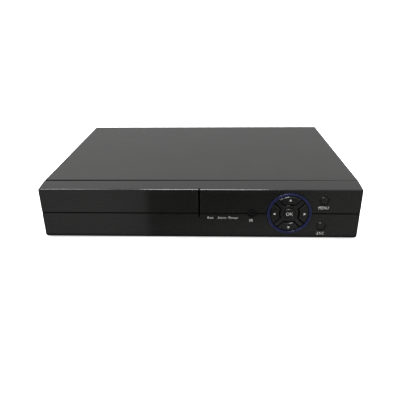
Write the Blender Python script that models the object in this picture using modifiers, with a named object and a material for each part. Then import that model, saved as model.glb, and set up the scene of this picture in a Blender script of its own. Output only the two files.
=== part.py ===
"""A desktop video recorder for security cameras: sheet-steel case, moulded front panel with its keys,
main board with the rear connectors, hard drive and fan. Metres, +Z up, front towards -Y."""

import math

import bmesh
import bpy
from mathutils import Vector

# Driving dimensions.
CASE_WIDTH = 0.300
CASE_HEIGHT = 0.0484
COVER_LENGTH = 0.197
PANEL_DEPTH = 0.0222
PANEL_TAPER = 0.987
PANEL_WALL = 0.0025
FOOT_HEIGHT = 0.003
SHEET = 0.001
GAP = 0.0003
SEAM = 0.0012
JACK_REACH = 0.011

# Key heights above the front panel's face.
OK_PROUD = 0.0015
ARROW_PROUD = 0.0012
ROUND_PROUD = 0.0005

# Planes that the parts are built on.
HALF_WIDTH = CASE_WIDTH / 2
FRONT_Y = -(OK_PROUD + PANEL_DEPTH + COVER_LENGTH + JACK_REACH) / 2
FACE_Y = FRONT_Y + OK_PROUD
SEAM_Y = FACE_Y + PANEL_DEPTH
REAR_Y = SEAM_Y + COVER_LENGTH
PANEL_BACK_Y = SEAM_Y - SEAM * 0.75
BASE_Z = FOOT_HEIGHT
TOP_Z = BASE_Z + CASE_HEIGHT
PANEL_BASE_Z = BASE_Z - 0.0008
FLOOR_Z = BASE_Z + SHEET
WALL_Y = REAR_Y - SHEET - GAP - SHEET
TRAY_FRONT_Y = SEAM_Y + SEAM / 2

# Front panel layout, across (x) and up (z).
GROOVE_Z = BASE_Z + 0.0244
SLOT_X = 0.0004
DPAD = (0.0834, BASE_Z + 0.0245)
MENU = (0.1141, BASE_Z + 0.0373)
ESC = (0.1137, BASE_Z + 0.0117)
IR = (0.0491, BASE_Z + 0.0248)
LAMPS_X = (0.0108, 0.0212, 0.0321)
RING_OUTER = 0.0204
RING_INNER = 0.0176
HUB_RADIUS = 0.00825
SPOKE_HALF = 0.00195
ARROW_SIDE = 0.00295
ARROW_INNER = 0.0094
ARROW_OUTER = 0.0173
OK_RADIUS = 0.0051
ROUND_RADIUS = 0.0037
KEY_GAP = 0.0007
WINDOW_RADIUS = 0.0030
FLANGE_START = 0.0046
FLANGE_END = 0.0056

# Keypad board and its switches.
KEYPAD_Y = FACE_Y + 0.013
BOARD_THICK = 0.0016
SWITCH_SIZE = 0.006
SWITCH_DEPTH = 0.0035
PLUNGER_DEPTH = 0.0009
STEM_END = 0.0077

# Main board and rear connectors.
MAIN_LOW = Vector((-0.0370, -0.0280, 0.0100))
MAIN_HIGH = Vector((0.1430, 0.1000, 0.0116))
PART_Z = MAIN_HIGH.z + GAP
BNC_X = (-0.029, -0.013, 0.003, 0.019)
BNC_Z = 0.0205
RCA_X = 0.035
RCA_Z = (0.0165, 0.0285)
VGA = (0.0595, 0.0195)
HDMI_X = 0.0855
LAN_X = 0.104
USB_X = 0.1215
DC_X = 0.1365

# Hard drive and fan.
DRIVE_LOW = Vector((-0.1440, -0.0620, 0.0073))
DRIVE_SIZE = Vector((0.1016, 0.1470, 0.0261))
DRIVE_SCREW_X = 0.047625
DRIVE_SCREW_Y = (-0.0300, 0.0145)
FAN = (-0.0900, 0.0243)
FAN_SIZE = 0.040
FAN_DEPTH = 0.010
FAN_BORE = 0.0188

for leftover in list(bpy.data.objects):
    bpy.data.objects.remove(leftover)

PARTS = bpy.data.collections.new("dvr_recorder")
CUTTERS = bpy.data.collections.new("cutters")
CUTTERS.hide_render = True
for group in (PARTS, CUTTERS):
    bpy.context.scene.collection.children.link(group)


def new_object(name, bm, centre, tool):
    """Puts the bmesh in a new object whose origin is at centre. A tool goes with the cutters."""
    bmesh.ops.recalc_face_normals(bm, faces=bm.faces)
    mesh = bpy.data.meshes.new(name)
    bm.to_mesh(mesh)
    bm.free()
    obj = bpy.data.objects.new(name, mesh)
    obj.location = centre
    if tool:
        obj.hide_render = True
        obj.display_type = "WIRE"
    (CUTTERS if tool else PARTS).objects.link(obj)
    return obj


def box(name, low, high, tool=True):
    low, high = Vector(low), Vector(high)
    bm = bmesh.new()
    bmesh.ops.create_cube(bm, size=1)
    bmesh.ops.scale(bm, vec=high - low, verts=bm.verts)
    return new_object(name, bm, (low + high) / 2, tool)


def rod(name, start, end, radius, sides=24, tool=True, end_radius=None):
    """A cylinder or cone from start to end."""
    start, end = Vector(start), Vector(end)
    along = end - start
    bm = bmesh.new()
    bmesh.ops.create_cone(
        bm,
        cap_ends=True,
        segments=sides,
        radius1=radius,
        radius2=radius if end_radius is None else end_radius,
        depth=along.length,
        matrix=along.to_track_quat("Z", "Y").to_matrix().to_4x4(),
    )
    return new_object(name, bm, (start + end) / 2, tool)


def rod_y(name, place, low_y, high_y, radius, sides=24, tool=True):
    """A cylinder along Y, at place (x, z)."""
    x, z = place
    return rod(name, (x, low_y, z), (x, high_y, z), radius, sides, tool)


def plate(name, outline, low_y, high_y, place=(0, 0), tool=True):
    """A flat outline of (x, z) points about place, extruded along Y."""
    bm = bmesh.new()
    rim = [bm.verts.new((x, 0, z)) for x, z in outline]
    face = bm.faces.new(rim)
    pushed = bmesh.ops.extrude_face_region(bm, geom=[face])["geom"]
    moved = [item for item in pushed if isinstance(item, bmesh.types.BMVert)]
    bmesh.ops.translate(bm, vec=(0, high_y - low_y, 0), verts=moved)
    return new_object(name, bm, (place[0], low_y, place[1]), tool)


def ribbon(name, route, across, thickness, tool=False):
    """A flat cable: the route swept by the vector across, then thickened."""
    bm = bmesh.new()
    line = [bm.verts.new(point) for point in smooth(route)]
    edges = [bm.edges.new(pair) for pair in zip(line, line[1:])]
    pushed = bmesh.ops.extrude_edge_only(bm, edges=edges)["geom"]
    moved = [item for item in pushed if isinstance(item, bmesh.types.BMVert)]
    bmesh.ops.translate(bm, vec=across, verts=moved)
    obj = new_object(name, bm, (0, 0, 0), tool)
    thick = obj.modifiers.new("thickness", "SOLIDIFY")
    thick.thickness = thickness
    thick.offset = 0
    return obj


def smooth(route, steps=4):
    """Points on a smooth curve through the route's points."""
    points = [Vector(point) for point in route]
    padded = [2 * points[0] - points[1], *points, 2 * points[-1] - points[-2]]
    found = []
    for a, b, c, d in zip(padded, padded[1:], padded[2:], padded[3:]):
        square, cube = 2 * a - 5 * b + 4 * c - d, 3 * b - a - 3 * c + d
        for step in range(steps):
            t = step / steps
            found.append((2 * b + (c - a) * t + square * t**2 + cube * t**3) / 2)
    return [*found, points[-1]]


def wire(name, route, radius):
    """A round cable as a mesh tube, so that plugs can be joined to it."""
    curve = bpy.data.curves.new(name, "CURVE")
    curve.dimensions = "3D"
    curve.bevel_depth = radius
    curve.bevel_resolution = 2
    curve.use_fill_caps = True
    points = smooth(route, 3)
    spline = curve.splines.new("POLY")
    spline.points.add(len(points) - 1)
    for spot, point in zip(spline.points, points):
        spot.co = (*point, 1)
    draft = bpy.data.objects.new(name + "_curve", curve)
    bpy.context.scene.collection.objects.link(draft)
    evaluated = draft.evaluated_get(bpy.context.evaluated_depsgraph_get())
    mesh = bpy.data.meshes.new_from_object(evaluated)
    bpy.data.objects.remove(draft)
    bm = bmesh.new()
    bm.from_mesh(mesh)
    bmesh.ops.remove_doubles(bm, verts=bm.verts, dist=0.00001)
    return new_object(name, bm, (0, 0, 0), False)


def combine(obj, tools, operation):
    for tool in tools:
        boolean = obj.modifiers.new(tool.name, "BOOLEAN")
        boolean.operation = operation
        boolean.object = tool


def cut(obj, *tools):
    combine(obj, tools, "DIFFERENCE")


def join(obj, *tools):
    combine(obj, tools, "UNION")


def soften(obj, width, segments=1):
    """Rounds the object's own sharp edges, before any cuts."""
    bevel = obj.modifiers.new("soft_edges", "BEVEL")
    bevel.width = width
    bevel.segments = segments
    bevel.limit_method = "ANGLE"
    bevel.angle_limit = math.radians(50)


def paint(obj, colour, roughness, metallic=0.0):
    material = bpy.data.materials.new(obj.name + "_material")
    material.use_nodes = True
    shader = material.node_tree.nodes["Principled BSDF"]
    shader.inputs["Base Color"].default_value = (*colour, 1)
    shader.inputs["Roughness"].default_value = roughness
    shader.inputs["Metallic"].default_value = metallic
    obj.data.materials.append(material)


def sector_points(inner, outer, side_gap, middle, arc_steps=6):
    """A quarter sector about the angle middle, with sides side_gap away from the diagonals."""
    outline = []
    for radius, forward in ((outer, 1), (inner, -1)):
        half = math.pi / 4 - math.asin(side_gap / radius)
        for i in range(arc_steps + 1):
            angle = middle + forward * half * (2 * i / arc_steps - 1)
            outline.append((radius * math.cos(angle), radius * math.sin(angle)))
    return outline


# Sheet-steel case


def make_chassis():
    """Folded tray: floor, rear wall, side and front flanges, with pressed bosses and standoffs."""
    side_x = HALF_WIDTH - SHEET - GAP
    flange_z = BASE_Z + 0.014
    wall_top = TOP_Z - SHEET - GAP
    low, high = (-side_x, TRAY_FRONT_Y, BASE_Z), (side_x, WALL_Y + SHEET, wall_top)
    tray = box("chassis_tray", low, high, tool=False)
    inner_x = side_x - SHEET
    cut(tray, box("tray_hollow", (-inner_x, TRAY_FRONT_Y + SHEET, FLOOR_Z), (inner_x, WALL_Y, TOP_Z)))
    cut(tray, box("above_flanges", (-HALF_WIDTH, SEAM_Y - SHEET, flange_z), (HALF_WIDTH, WALL_Y, TOP_Z)))
    sunk_z = BASE_Z + SHEET / 2
    for x, y in drive_screw_places():
        join(tray, rod("drive_boss", (x, y, sunk_z), (x, y, DRIVE_LOW.z - GAP), 0.0045, 14))
        cut(tray, rod("drive_hole", (x, y, 0), (x, y, DRIVE_LOW.z), 0.0018, 10))
    for x, y in standoff_places():
        join(tray, rod("standoff", (x, y, sunk_z), (x, y, MAIN_LOW.z - GAP), 0.0030, 6))
    cut_rear_wall(tray)
    for x in cover_screw_places():
        cut(tray, rod_y("wall_screw_hole", (x, SCREW_Z), WALL_Y - SHEET, REAR_Y, 0.0018, 10))
    paint(tray, (0.02, 0.02, 0.02), 0.5, 0.4)


def cut_rear_wall(tray):
    """Cut-outs for the connectors and the fan's grille."""
    low_y, high_y = WALL_Y - SHEET, WALL_Y + 2 * SHEET
    for x in BNC_X:
        cut(tray, rod_y("bnc_cutout", (x, BNC_Z), low_y, high_y, 0.0053, 16))
    for z in RCA_Z:
        cut(tray, rod_y("rca_cutout", (RCA_X, z), low_y, high_y, 0.0046, 16))
    for name, x, low_z, high_z, half in (
        ("vga_cutout", VGA[0], VGA[1] - 0.0050, VGA[1] + 0.0050, 0.0092),
        ("hdmi_cutout", HDMI_X, PART_Z, PART_Z + 0.0068, 0.0080),
        ("lan_cutout", LAN_X, PART_Z, PART_Z + 0.0142, 0.0084),
        ("usb_cutout", USB_X, PART_Z, PART_Z + 0.0163, 0.0070),
        ("dc_cutout", DC_X, PART_Z, PART_Z + 0.0116, 0.0049),
    ):
        cut(tray, box(name, (x - half, low_y, low_z - GAP), (x + half, high_y, high_z)))
    slot_half, slot_pitch = 0.0011, 0.0046
    for row in range(-3, 4):
        z = FAN[1] + row * slot_pitch
        half = math.sqrt(0.0170**2 - (row * slot_pitch) ** 2)
        low, high = (FAN[0] - half, low_y, z - slot_half), (FAN[0] + half, high_y, z + slot_half)
        cut(tray, box("fan_slot", low, high))


def cover_screw_places():
    return (-0.137, -0.050, 0.050, 0.137)


SCREW_Z = TOP_Z - 0.0045


def make_cover():
    """Top, two sides and a rear flange folded from one sheet, with vent slots in the sides."""
    front_y = SEAM_Y + SEAM / 2
    low_z = BASE_Z + 2 * GAP
    bm = bmesh.new()
    bmesh.ops.create_cube(bm, size=1)
    size = Vector((CASE_WIDTH, REAR_Y - front_y, TOP_Z - low_z))
    bmesh.ops.scale(bm, vec=size, verts=bm.verts)
    folds = [edge for edge in bm.edges if all(v.co.z > 0 for v in edge.verts)]
    front_edge = [edge for edge in folds if all(v.co.y < 0 for v in edge.verts)]
    folds = [edge for edge in folds if edge not in front_edge]
    bmesh.ops.bevel(bm, geom=folds, offset=0.0010, segments=3, profile=0.5, affect="EDGES")
    cover = new_object("top_cover", bm, (0, (front_y + REAR_Y) / 2, (TOP_Z + low_z) / 2), False)
    inside_x = HALF_WIDTH - SHEET
    hollow = box("cover_hollow", (-inside_x, front_y - SHEET, 0), (inside_x, REAR_Y - SHEET, TOP_Z - SHEET))
    opening_top = (inside_x, REAR_Y + SHEET, SCREW_Z - 0.0041)
    cut(cover, hollow, box("cover_rear_opening", (-inside_x, REAR_Y - 2 * SHEET, 0), opening_top))
    for side in (-1, 1):
        low_x, high_x = sorted((side * (inside_x - SHEET), side * (HALF_WIDTH + SHEET)))
        for i in range(7):
            y = front_y + 0.030 + i * 0.008
            cut(cover, box("vent", (low_x, y, BASE_Z + 0.018), (high_x, y + 0.003, BASE_Z + 0.038)))
    for x in cover_screw_places():
        cut(cover, rod_y("flange_hole", (x, SCREW_Z), REAR_Y - 2 * SHEET, REAR_Y + SHEET, 0.0018, 10))
    paint(cover, (0.02, 0.02, 0.02), 0.45, 0.4)
    for number, x in enumerate(cover_screw_places(), 1):
        make_cover_screw(f"cover_screw_{number}", x)


def make_cover_screw(name, x):
    """Cross-head machine screw, driven forwards into the rear wall."""
    head_y = REAR_Y + GAP
    screw = rod_y(name, (x, SCREW_Z), head_y, head_y + 0.0018, 0.0028, 14, tool=False)
    soften(screw, 0.0006)
    join(screw, rod_y(name + "_shank", (x, SCREW_Z), WALL_Y - 0.003, head_y + SHEET, 0.0014, 8))
    cut_cross(screw, (x, head_y + 0.0018, SCREW_Z))
    paint(screw, (0.35, 0.35, 0.36), 0.35, 1.0)


def cut_cross(screw, mouth):
    """Cross recess in a screw head that faces +Y."""
    x, y, z = mouth
    arm, half, depth = 0.0016, 0.0003, 0.0009
    cut(screw, box("cross_flat", (x - arm, y - depth, z - half), (x + arm, y + depth, z + half)))
    cut(screw, box("cross_tall", (x - half, y - depth, z - arm), (x + half, y + depth, z + arm)))


def make_feet():
    """Four stick-on rubber feet."""
    for number, (x, y) in enumerate(((-0.128, -0.074), (0.128, -0.074), (-0.128, 0.088), (0.128, 0.088)), 1):
        foot = rod(f"foot_{number}", (x, y, 0), (x, y, BASE_Z - GAP), 0.0075, 20, False, 0.0083)
        paint(foot, (0.015, 0.015, 0.015), 0.8)


# Front panel and keys


def make_front_panel():
    """Moulded shell, open at the back, with grooves in its face and a tongue under the cover's front edge."""
    bm = bmesh.new()
    bmesh.ops.create_cube(bm, size=1)
    size = Vector((CASE_WIDTH, PANEL_BACK_Y - FACE_Y, TOP_Z - PANEL_BASE_Z))
    bmesh.ops.scale(bm, vec=size, verts=bm.verts)
    for upper, radius, segments in ((True, 0.0012, 2), (False, 0.0024, 4)):
        corners = [
            edge
            for edge in bm.edges
            if abs(edge.verts[0].co.y - edge.verts[1].co.y) > SHEET and (edge.verts[0].co.z > 0) == upper
        ]
        bmesh.ops.bevel(bm, geom=corners, offset=radius, segments=segments, profile=0.5, affect="EDGES")
    front = [vert for vert in bm.verts if vert.co.y < 0]
    bmesh.ops.scale(bm, vec=(PANEL_TAPER, 1, 1), verts=front)
    rim = [edge for edge in bm.edges if all(v.co.y < 0 for v in edge.verts)]
    bmesh.ops.bevel(bm, geom=rim, offset=0.0009, segments=3, profile=0.5, affect="EDGES")
    middle = Vector((0, (FACE_Y + PANEL_BACK_Y) / 2, (PANEL_BASE_Z + TOP_Z) / 2))
    panel = new_object("front_panel", bm, middle, False)
    inside_x = HALF_WIDTH * PANEL_TAPER - PANEL_WALL
    hollow_low = (-inside_x, FACE_Y + PANEL_WALL, PANEL_BASE_Z + PANEL_WALL)
    cut(panel, box("panel_hollow", hollow_low, (inside_x, SEAM_Y, TOP_Z - PANEL_WALL)))
    tongue_top = TOP_Z - SHEET - GAP
    tongue_low = (-0.143, PANEL_BACK_Y - 0.003, tongue_top - 0.0015)
    join(panel, box("tongue", tongue_low, (0.143, SEAM_Y + 0.004, tongue_top)))
    cut_panel_face(panel)
    for x, z in stake_places():
        post_start = FACE_Y + PANEL_WALL - SHEET
        join(panel, rod_y("post", (x, z), post_start, KEYPAD_Y - GAP, 0.0030, 12))
        join(panel, rod_y("stake", (x, z), KEYPAD_Y - SHEET, KEYPAD_Y + BOARD_THICK + SHEET, 0.0011, 8))
        head_y = KEYPAD_Y + BOARD_THICK + GAP
        join(panel, rod_y("stake_head", (x, z), head_y, head_y + 0.0010, 0.0022, 12))
    paint(panel, (0.012, 0.012, 0.012), 0.12)


def stake_places():
    return [(x, BASE_Z + rise) for x in (0.009, 0.127) for rise in (0.009, 0.040)]


def cut_panel_face(panel):
    """Styling grooves, key holes, the ring's seat, the receiver's window and the lamps' holes."""
    groove_depth, groove_half, slot_half = 0.0018, 0.00065, 0.00075
    front, back = FACE_Y - SHEET, FACE_Y + PANEL_WALL + SHEET
    groove_back = FACE_Y + groove_depth
    for low_x, high_x in ((-0.1500, DPAD[0] - RING_OUTER), (DPAD[0] + RING_OUTER, 0.1500)):
        low, high = (low_x, front, GROOVE_Z - groove_half), (high_x, groove_back, GROOVE_Z + groove_half)
        cut(panel, box("groove", low, high))
    slot_low = (SLOT_X - slot_half, front, BASE_Z + 0.020)
    cut(panel, box("slot", slot_low, (SLOT_X + slot_half, FACE_Y + PANEL_WALL + GAP, TOP_Z + SHEET)))
    cut(panel, rod_y("ring_seat", DPAD, front, FACE_Y + SHEET, RING_OUTER + GAP, 40))
    cut(panel, rod_y("dpad_hole", DPAD, front, back, RING_INNER, 40))
    for name, place in (("menu_hole", MENU), ("esc_hole", ESC)):
        cut(panel, rod_y(name, place, front, back, ROUND_RADIUS + KEY_GAP, 20))
    cut(panel, rod_y("ir_hole", IR, front, back, 0.0042, 20))
    for x in LAMPS_X:
        cut(panel, rod_y("lamp_hole", (x, GROOVE_Z), front, back, 0.0010, 8))


def make_dpad_ring():
    """Coloured trim ring around the arrow keys, glued in its seat."""
    bm = bmesh.new()
    bead = 0.0012
    depth = 0.0022
    inner, outer = RING_INNER + GAP, RING_OUTER
    middle, half = (inner + outer) / 2, (outer - inner) / 2
    angles = [math.pi * i / 4 for i in range(5)]
    crown = [(middle + half * math.cos(a), -bead * math.sin(a)) for a in angles]
    profile = [(outer, depth - bead - GAP), *crown, (inner, depth - bead - GAP)]
    rim = [bm.verts.new((x, y, 0)) for x, y in profile]
    for pair in zip(rim, rim[1:] + rim[:1]):
        bm.edges.new(pair)
    ring = new_object("dpad_ring", bm, (DPAD[0], FACE_Y, DPAD[1]), False)
    turn = ring.modifiers.new("turn", "SCREW")
    turn.axis = "Y"
    turn.steps = 36
    turn.render_steps = 36
    turn.use_merge_vertices = True
    turn.merge_threshold = 0.00001
    turn.use_normal_calculate = True
    paint(ring, (0.03, 0.035, 0.10), 0.25)


def make_dpad_frame():
    """Fixed cross between the arrow keys, on a rim that clips behind the panel."""
    front, back = FACE_Y - GAP, FACE_Y + PANEL_WALL + 0.0018
    rim_front = FACE_Y + PANEL_WALL + GAP
    frame = rod_y("dpad_frame", DPAD, rim_front, back, 0.0208, 36, tool=False)
    join(frame, rod_y("frame_face", DPAD, front, back - SHEET / 2, RING_INNER - 0.0004, 36))
    for turn in range(4):
        opening = sector_points(HUB_RADIUS, 0.0179, SPOKE_HALF, math.pi / 2 * turn)
        cut(frame, plate("frame_opening", opening, front - SHEET, back + SHEET, DPAD))
    cut(frame, rod_y("ok_hole", DPAD, front - SHEET, back + SHEET, OK_RADIUS + KEY_GAP / 2, 20))
    paint(frame, (0.018, 0.018, 0.018), 0.25)


def make_arrow_key(name, middle):
    """Quarter-ring key with a flange that keeps it behind the frame's rim, and a stem to its switch."""
    outline = sector_points(ARROW_INNER, ARROW_OUTER, ARROW_SIDE, middle)
    key = plate(name, outline, FACE_Y - ARROW_PROUD, FACE_Y + FLANGE_START + GAP, DPAD, tool=False)
    soften(key, 0.0005)
    flange = sector_points(ARROW_INNER, 0.0195, 0.0030, middle)
    join(key, plate(name + "_flange", flange, FACE_Y + FLANGE_START, FACE_Y + FLANGE_END, DPAD))
    place = switch_place(middle)
    join(key, rod_y(name + "_stem", place, FACE_Y + FLANGE_START, FACE_Y + STEM_END, 0.0015, 8))
    paint(key, (0.02, 0.02, 0.02), 0.25)


def switch_place(middle):
    """Where the arrow key at the angle middle meets its switch."""
    reach = 0.0135
    return (DPAD[0] + reach * math.cos(middle), DPAD[1] + reach * math.sin(middle))


def make_round_key(name, place, radius, proud, flange_radius, flange_start):
    key = rod_y(name, place, FACE_Y - proud, FACE_Y + FLANGE_START + GAP, radius, 20, tool=False)
    soften(key, 0.0005)
    join(key, rod_y(name + "_flange", place, FACE_Y + flange_start, FACE_Y + FLANGE_END, flange_radius, 16))
    join(key, rod_y(name + "_stem", place, FACE_Y + FLANGE_START, FACE_Y + STEM_END, 0.0015, 8))
    paint(key, (0.02, 0.02, 0.02), 0.25)


ARROWS = {"right_key": 0, "up_key": math.pi / 2, "left_key": math.pi, "down_key": -math.pi / 2}


def key_places():
    places = {name: switch_place(middle) for name, middle in ARROWS.items()}
    return {**places, "ok_key": DPAD, "menu_key": MENU, "esc_key": ESC}


def make_keys():
    for name, middle in ARROWS.items():
        make_arrow_key(name, middle)
    make_round_key("ok_key", DPAD, OK_RADIUS, OK_PROUD, 0.0072, FLANGE_START)
    make_round_key("menu_key", MENU, ROUND_RADIUS, ROUND_PROUD, 0.0062, PANEL_WALL + GAP)
    make_round_key("esc_key", ESC, ROUND_RADIUS, ROUND_PROUD, 0.0062, PANEL_WALL + GAP)


def make_window_and_lamps():
    """Infrared window and the three-pronged light pipe, both fitted from behind."""
    window = rod_y("ir_window", IR, FACE_Y + GAP, FACE_Y + 0.0042, WINDOW_RADIUS, 20, tool=False)
    soften(window, 0.0004)
    cut(window, rod_y("window_dimple", IR, FACE_Y - SHEET, FACE_Y + 0.0020, 0.0012, 12))
    join(window, rod_y("window_flange", IR, FACE_Y + PANEL_WALL + GAP, FACE_Y + 0.0042, 0.0052, 16))
    paint(window, (0.01, 0.005, 0.008), 0.08)
    bar_y = FACE_Y + PANEL_WALL + GAP
    low = (LAMPS_X[0] - 0.003, bar_y, GROOVE_Z - 0.0015)
    pipe = box("light_pipe", low, (LAMPS_X[-1] + 0.003, bar_y + 0.0020, GROOVE_Z + 0.0015), tool=False)
    for x in LAMPS_X:
        join(pipe, rod_y("prong", (x, GROOVE_Z), FACE_Y + 0.0010, KEYPAD_Y - 0.0016, 0.0007, 8))
    paint(pipe, (0.75, 0.76, 0.78), 0.1)


def make_keypad():
    """Keypad board with its lamps and ribbon socket, seven switches and the infrared receiver."""
    low, high = (0.004, KEYPAD_Y, BASE_Z + 0.0045), (0.132, KEYPAD_Y + BOARD_THICK, BASE_Z + 0.0445)
    board = box("keypad_board", low, high, tool=False)
    for place in stake_places():
        cut(board, rod_y("stake_hole", place, KEYPAD_Y - SHEET, KEYPAD_Y + 3 * SHEET, 0.0014, 8))
    for x in LAMPS_X:
        lamp_low = (x - 0.0008, KEYPAD_Y - 0.0010, GROOVE_Z - 0.0005)
        join(board, box("lamp", lamp_low, (x + 0.0008, KEYPAD_Y + GAP, GROOVE_Z + 0.0005)))
    socket_low = (0.052, KEYPAD_Y + SHEET, 0.0250)
    join(board, box("ribbon_socket", socket_low, (0.078, KEYPAD_Y + BOARD_THICK + 0.0030, 0.0300)))
    paint(board, (0.02, 0.12, 0.05), 0.4)
    body_y = KEYPAD_Y - GAP - SWITCH_DEPTH
    for key, (x, z) in key_places().items():
        half = SWITCH_SIZE / 2
        name = key.replace("_key", "_switch")
        switch = box(name, (x - half, body_y, z - half), (x + half, KEYPAD_Y - GAP, z + half), tool=False)
        join(switch, rod_y(name + "_plunger", (x, z), body_y - PLUNGER_DEPTH, body_y + SHEET, 0.00175, 12))
        paint(switch, (0.03, 0.03, 0.03), 0.4)
    x, z = IR
    front = KEYPAD_Y - GAP - 0.0050
    high = (x + 0.0028, KEYPAD_Y - GAP, z + 0.0035)
    receiver = box("ir_receiver", (x - 0.0028, front, z - 0.0035), high, tool=False)
    soften(receiver, 0.0003)
    join(receiver, rod_y("receiver_lens", IR, front - 0.0014, front + SHEET, 0.0022, 12))
    paint(receiver, (0.015, 0.015, 0.02), 0.2)


# Main board, its parts and the rear connectors


def standoff_places():
    inset = 0.004
    xs = (MAIN_LOW.x + inset, MAIN_HIGH.x - inset)
    return [(x, y) for x in xs for y in (MAIN_LOW.y + inset, 0.0700)]


def make_main_board():
    board = box("main_board", MAIN_LOW, MAIN_HIGH, tool=False)
    for x, y in standoff_places():
        cut(board, rod("board_hole", (x, y, 0), (x, y, PART_Z + SHEET), 0.0016, 10))
    inside = MAIN_HIGH.z - 0.0004
    for name, low, high in (
        ("data_socket", (-0.0225, -0.0270, inside), (-0.0135, -0.0200, inside + 0.0080)),
        ("power_socket", (-0.0300, -0.0060, inside), (-0.0180, 0.0020, inside + 0.0070)),
        ("ribbon_header", (0.0510, -0.0265, inside), (0.0790, -0.0205, inside + 0.0060)),
        ("fan_socket", (-0.0340, 0.0420, inside), (-0.0280, 0.0480, inside + 0.0060)),
        ("network_transformer", (0.0960, 0.0580, inside), (0.1120, 0.0680, inside + 0.0060)),
        ("buzzer", (0.1240, 0.0300, inside), (0.1340, 0.0400, inside + 0.0070)),
    ):
        join(board, box(name, low, high))
    for x, y in ((0.128, 0.062), (0.128, 0.050), (0.116, 0.014), (0.128, 0.014)):
        join(board, rod("capacitor", (x, y, inside), (x, y, inside + 0.0110), 0.0040, 14))
    paint(board, (0.02, 0.12, 0.05), 0.4)


def make_chips():
    """Processor under its heatsink, two memory chips and the clock's coin cell in its holder."""
    chip_top = PART_Z + 0.0014
    processor = box("processor", (0.0260, 0.0010, PART_Z), (0.0460, 0.0210, chip_top), tool=False)
    paint(processor, (0.02, 0.02, 0.02), 0.5)
    sink_low = Vector((0.0220, -0.0030, chip_top + GAP))
    sink_high = Vector((0.0500, 0.0250, chip_top + 0.0100))
    sink = box("heatsink", sink_low, sink_high, tool=False)
    for i in range(7):
        x = sink_low.x + 0.0021 + i * 0.0036
        gap_low = (x, sink_low.y - SHEET, sink_low.z + 0.0025)
        cut(sink, box("fin_gap", gap_low, (x + 0.0022, sink_high.y + SHEET, sink_high.z + SHEET)))
    paint(sink, (0.04, 0.04, 0.045), 0.4, 0.9)
    for number, x in enumerate((0.0600, 0.0780), 1):
        high = (x + 0.0130, 0.0150, PART_Z + 0.0012)
        memory = box(f"memory_chip_{number}", (x, 0.0040, PART_Z), high, tool=False)
        paint(memory, (0.02, 0.02, 0.02), 0.5)
    x, y = 0.066, 0.040
    holder = rod("cell_holder", (x, y, PART_Z), (x, y, PART_Z + 0.0050), 0.0120, 24, tool=False)
    cell_z = PART_Z + 0.0015
    cut(holder, rod("cell_seat", (x, y, cell_z), (x, y, PART_Z + 0.010), 0.0103, 24))
    paint(holder, (0.03, 0.03, 0.03), 0.5)
    cell = rod("coin_cell", (x, y, cell_z + GAP), (x, y, cell_z + GAP + 0.0032), 0.0100, 24, tool=False)
    soften(cell, 0.0004)
    paint(cell, (0.6, 0.6, 0.6), 0.25, 1.0)


def make_bnc_jack(name, x):
    """Camera input: bayonet barrel on a moulded block, with a hollow mouth around the centre contact."""
    tip_y = REAR_Y + JACK_REACH
    jack = box(name, (x - 0.0065, 0.0850, PART_Z), (x + 0.0065, WALL_Y - GAP, BNC_Z + 0.0070), tool=False)
    join(jack, rod_y(name + "_barrel", (x, BNC_Z), WALL_Y - SHEET, tip_y, 0.0048, 20))
    lug_y = tip_y - 0.0035
    join(jack, rod(name + "_lugs", (x - 0.0057, lug_y, BNC_Z), (x + 0.0057, lug_y, BNC_Z), 0.0010, 8))
    cut(jack, rod_y(name + "_mouth", (x, BNC_Z), tip_y - 0.0090, tip_y + SHEET, 0.0041, 20))
    insulator = rod_y(name + "_insulator", (x, BNC_Z), tip_y - 0.0095, tip_y - 0.0020, 0.0024, 12)
    join(jack, insulator)
    cut(jack, rod_y(name + "_contact", (x, BNC_Z), tip_y - 0.0080, tip_y, 0.0008, 6))
    paint(jack, (0.7, 0.69, 0.66), 0.25, 1.0)


def make_rca_jack():
    """Stacked pair of audio jacks."""
    high = (RCA_X + 0.0052, WALL_Y - GAP, 0.0345)
    jack = box("audio_jack", (RCA_X - 0.0052, 0.0880, PART_Z), high, tool=False)
    tip_y = REAR_Y + 0.0080
    for z in RCA_Z:
        join(jack, rod_y("rca_barrel", (RCA_X, z), WALL_Y - SHEET, tip_y, 0.0041, 20))
        cut(jack, rod_y("rca_mouth", (RCA_X, z), tip_y - 0.0070, tip_y + SHEET, 0.0017, 12))
    paint(jack, (0.7, 0.69, 0.66), 0.25, 1.0)


def make_vga_port():
    """Fifteen-way video socket: D-shaped shell through the wall, flange and board body inside."""
    x, z = VGA
    outer_y = REAR_Y + 0.0050
    port = box("vga_port", (x - 0.0154, 0.0920, PART_Z), (x + 0.0154, WALL_Y - GAP, z + 0.0062), tool=False)
    shell = [(-0.0083, 0.0041), (0.0083, 0.0041), (0.0070, -0.0041), (-0.0070, -0.0041)]
    join(port, plate("vga_shell", shell, WALL_Y - SHEET, outer_y, VGA))
    for row, count in ((0.0022, 5), (0.0, 5), (-0.0022, 5)):
        for i in range(count):
            hole = (x + (i - (count - 1) / 2) * 0.0023 + (0.0006 if row == 0 else 0), z + row)
            cut(port, rod_y("pin_hole", hole, outer_y - 0.0030, outer_y + SHEET, 0.0005, 5))
    paint(port, (0.03, 0.06, 0.25), 0.4)


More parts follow.
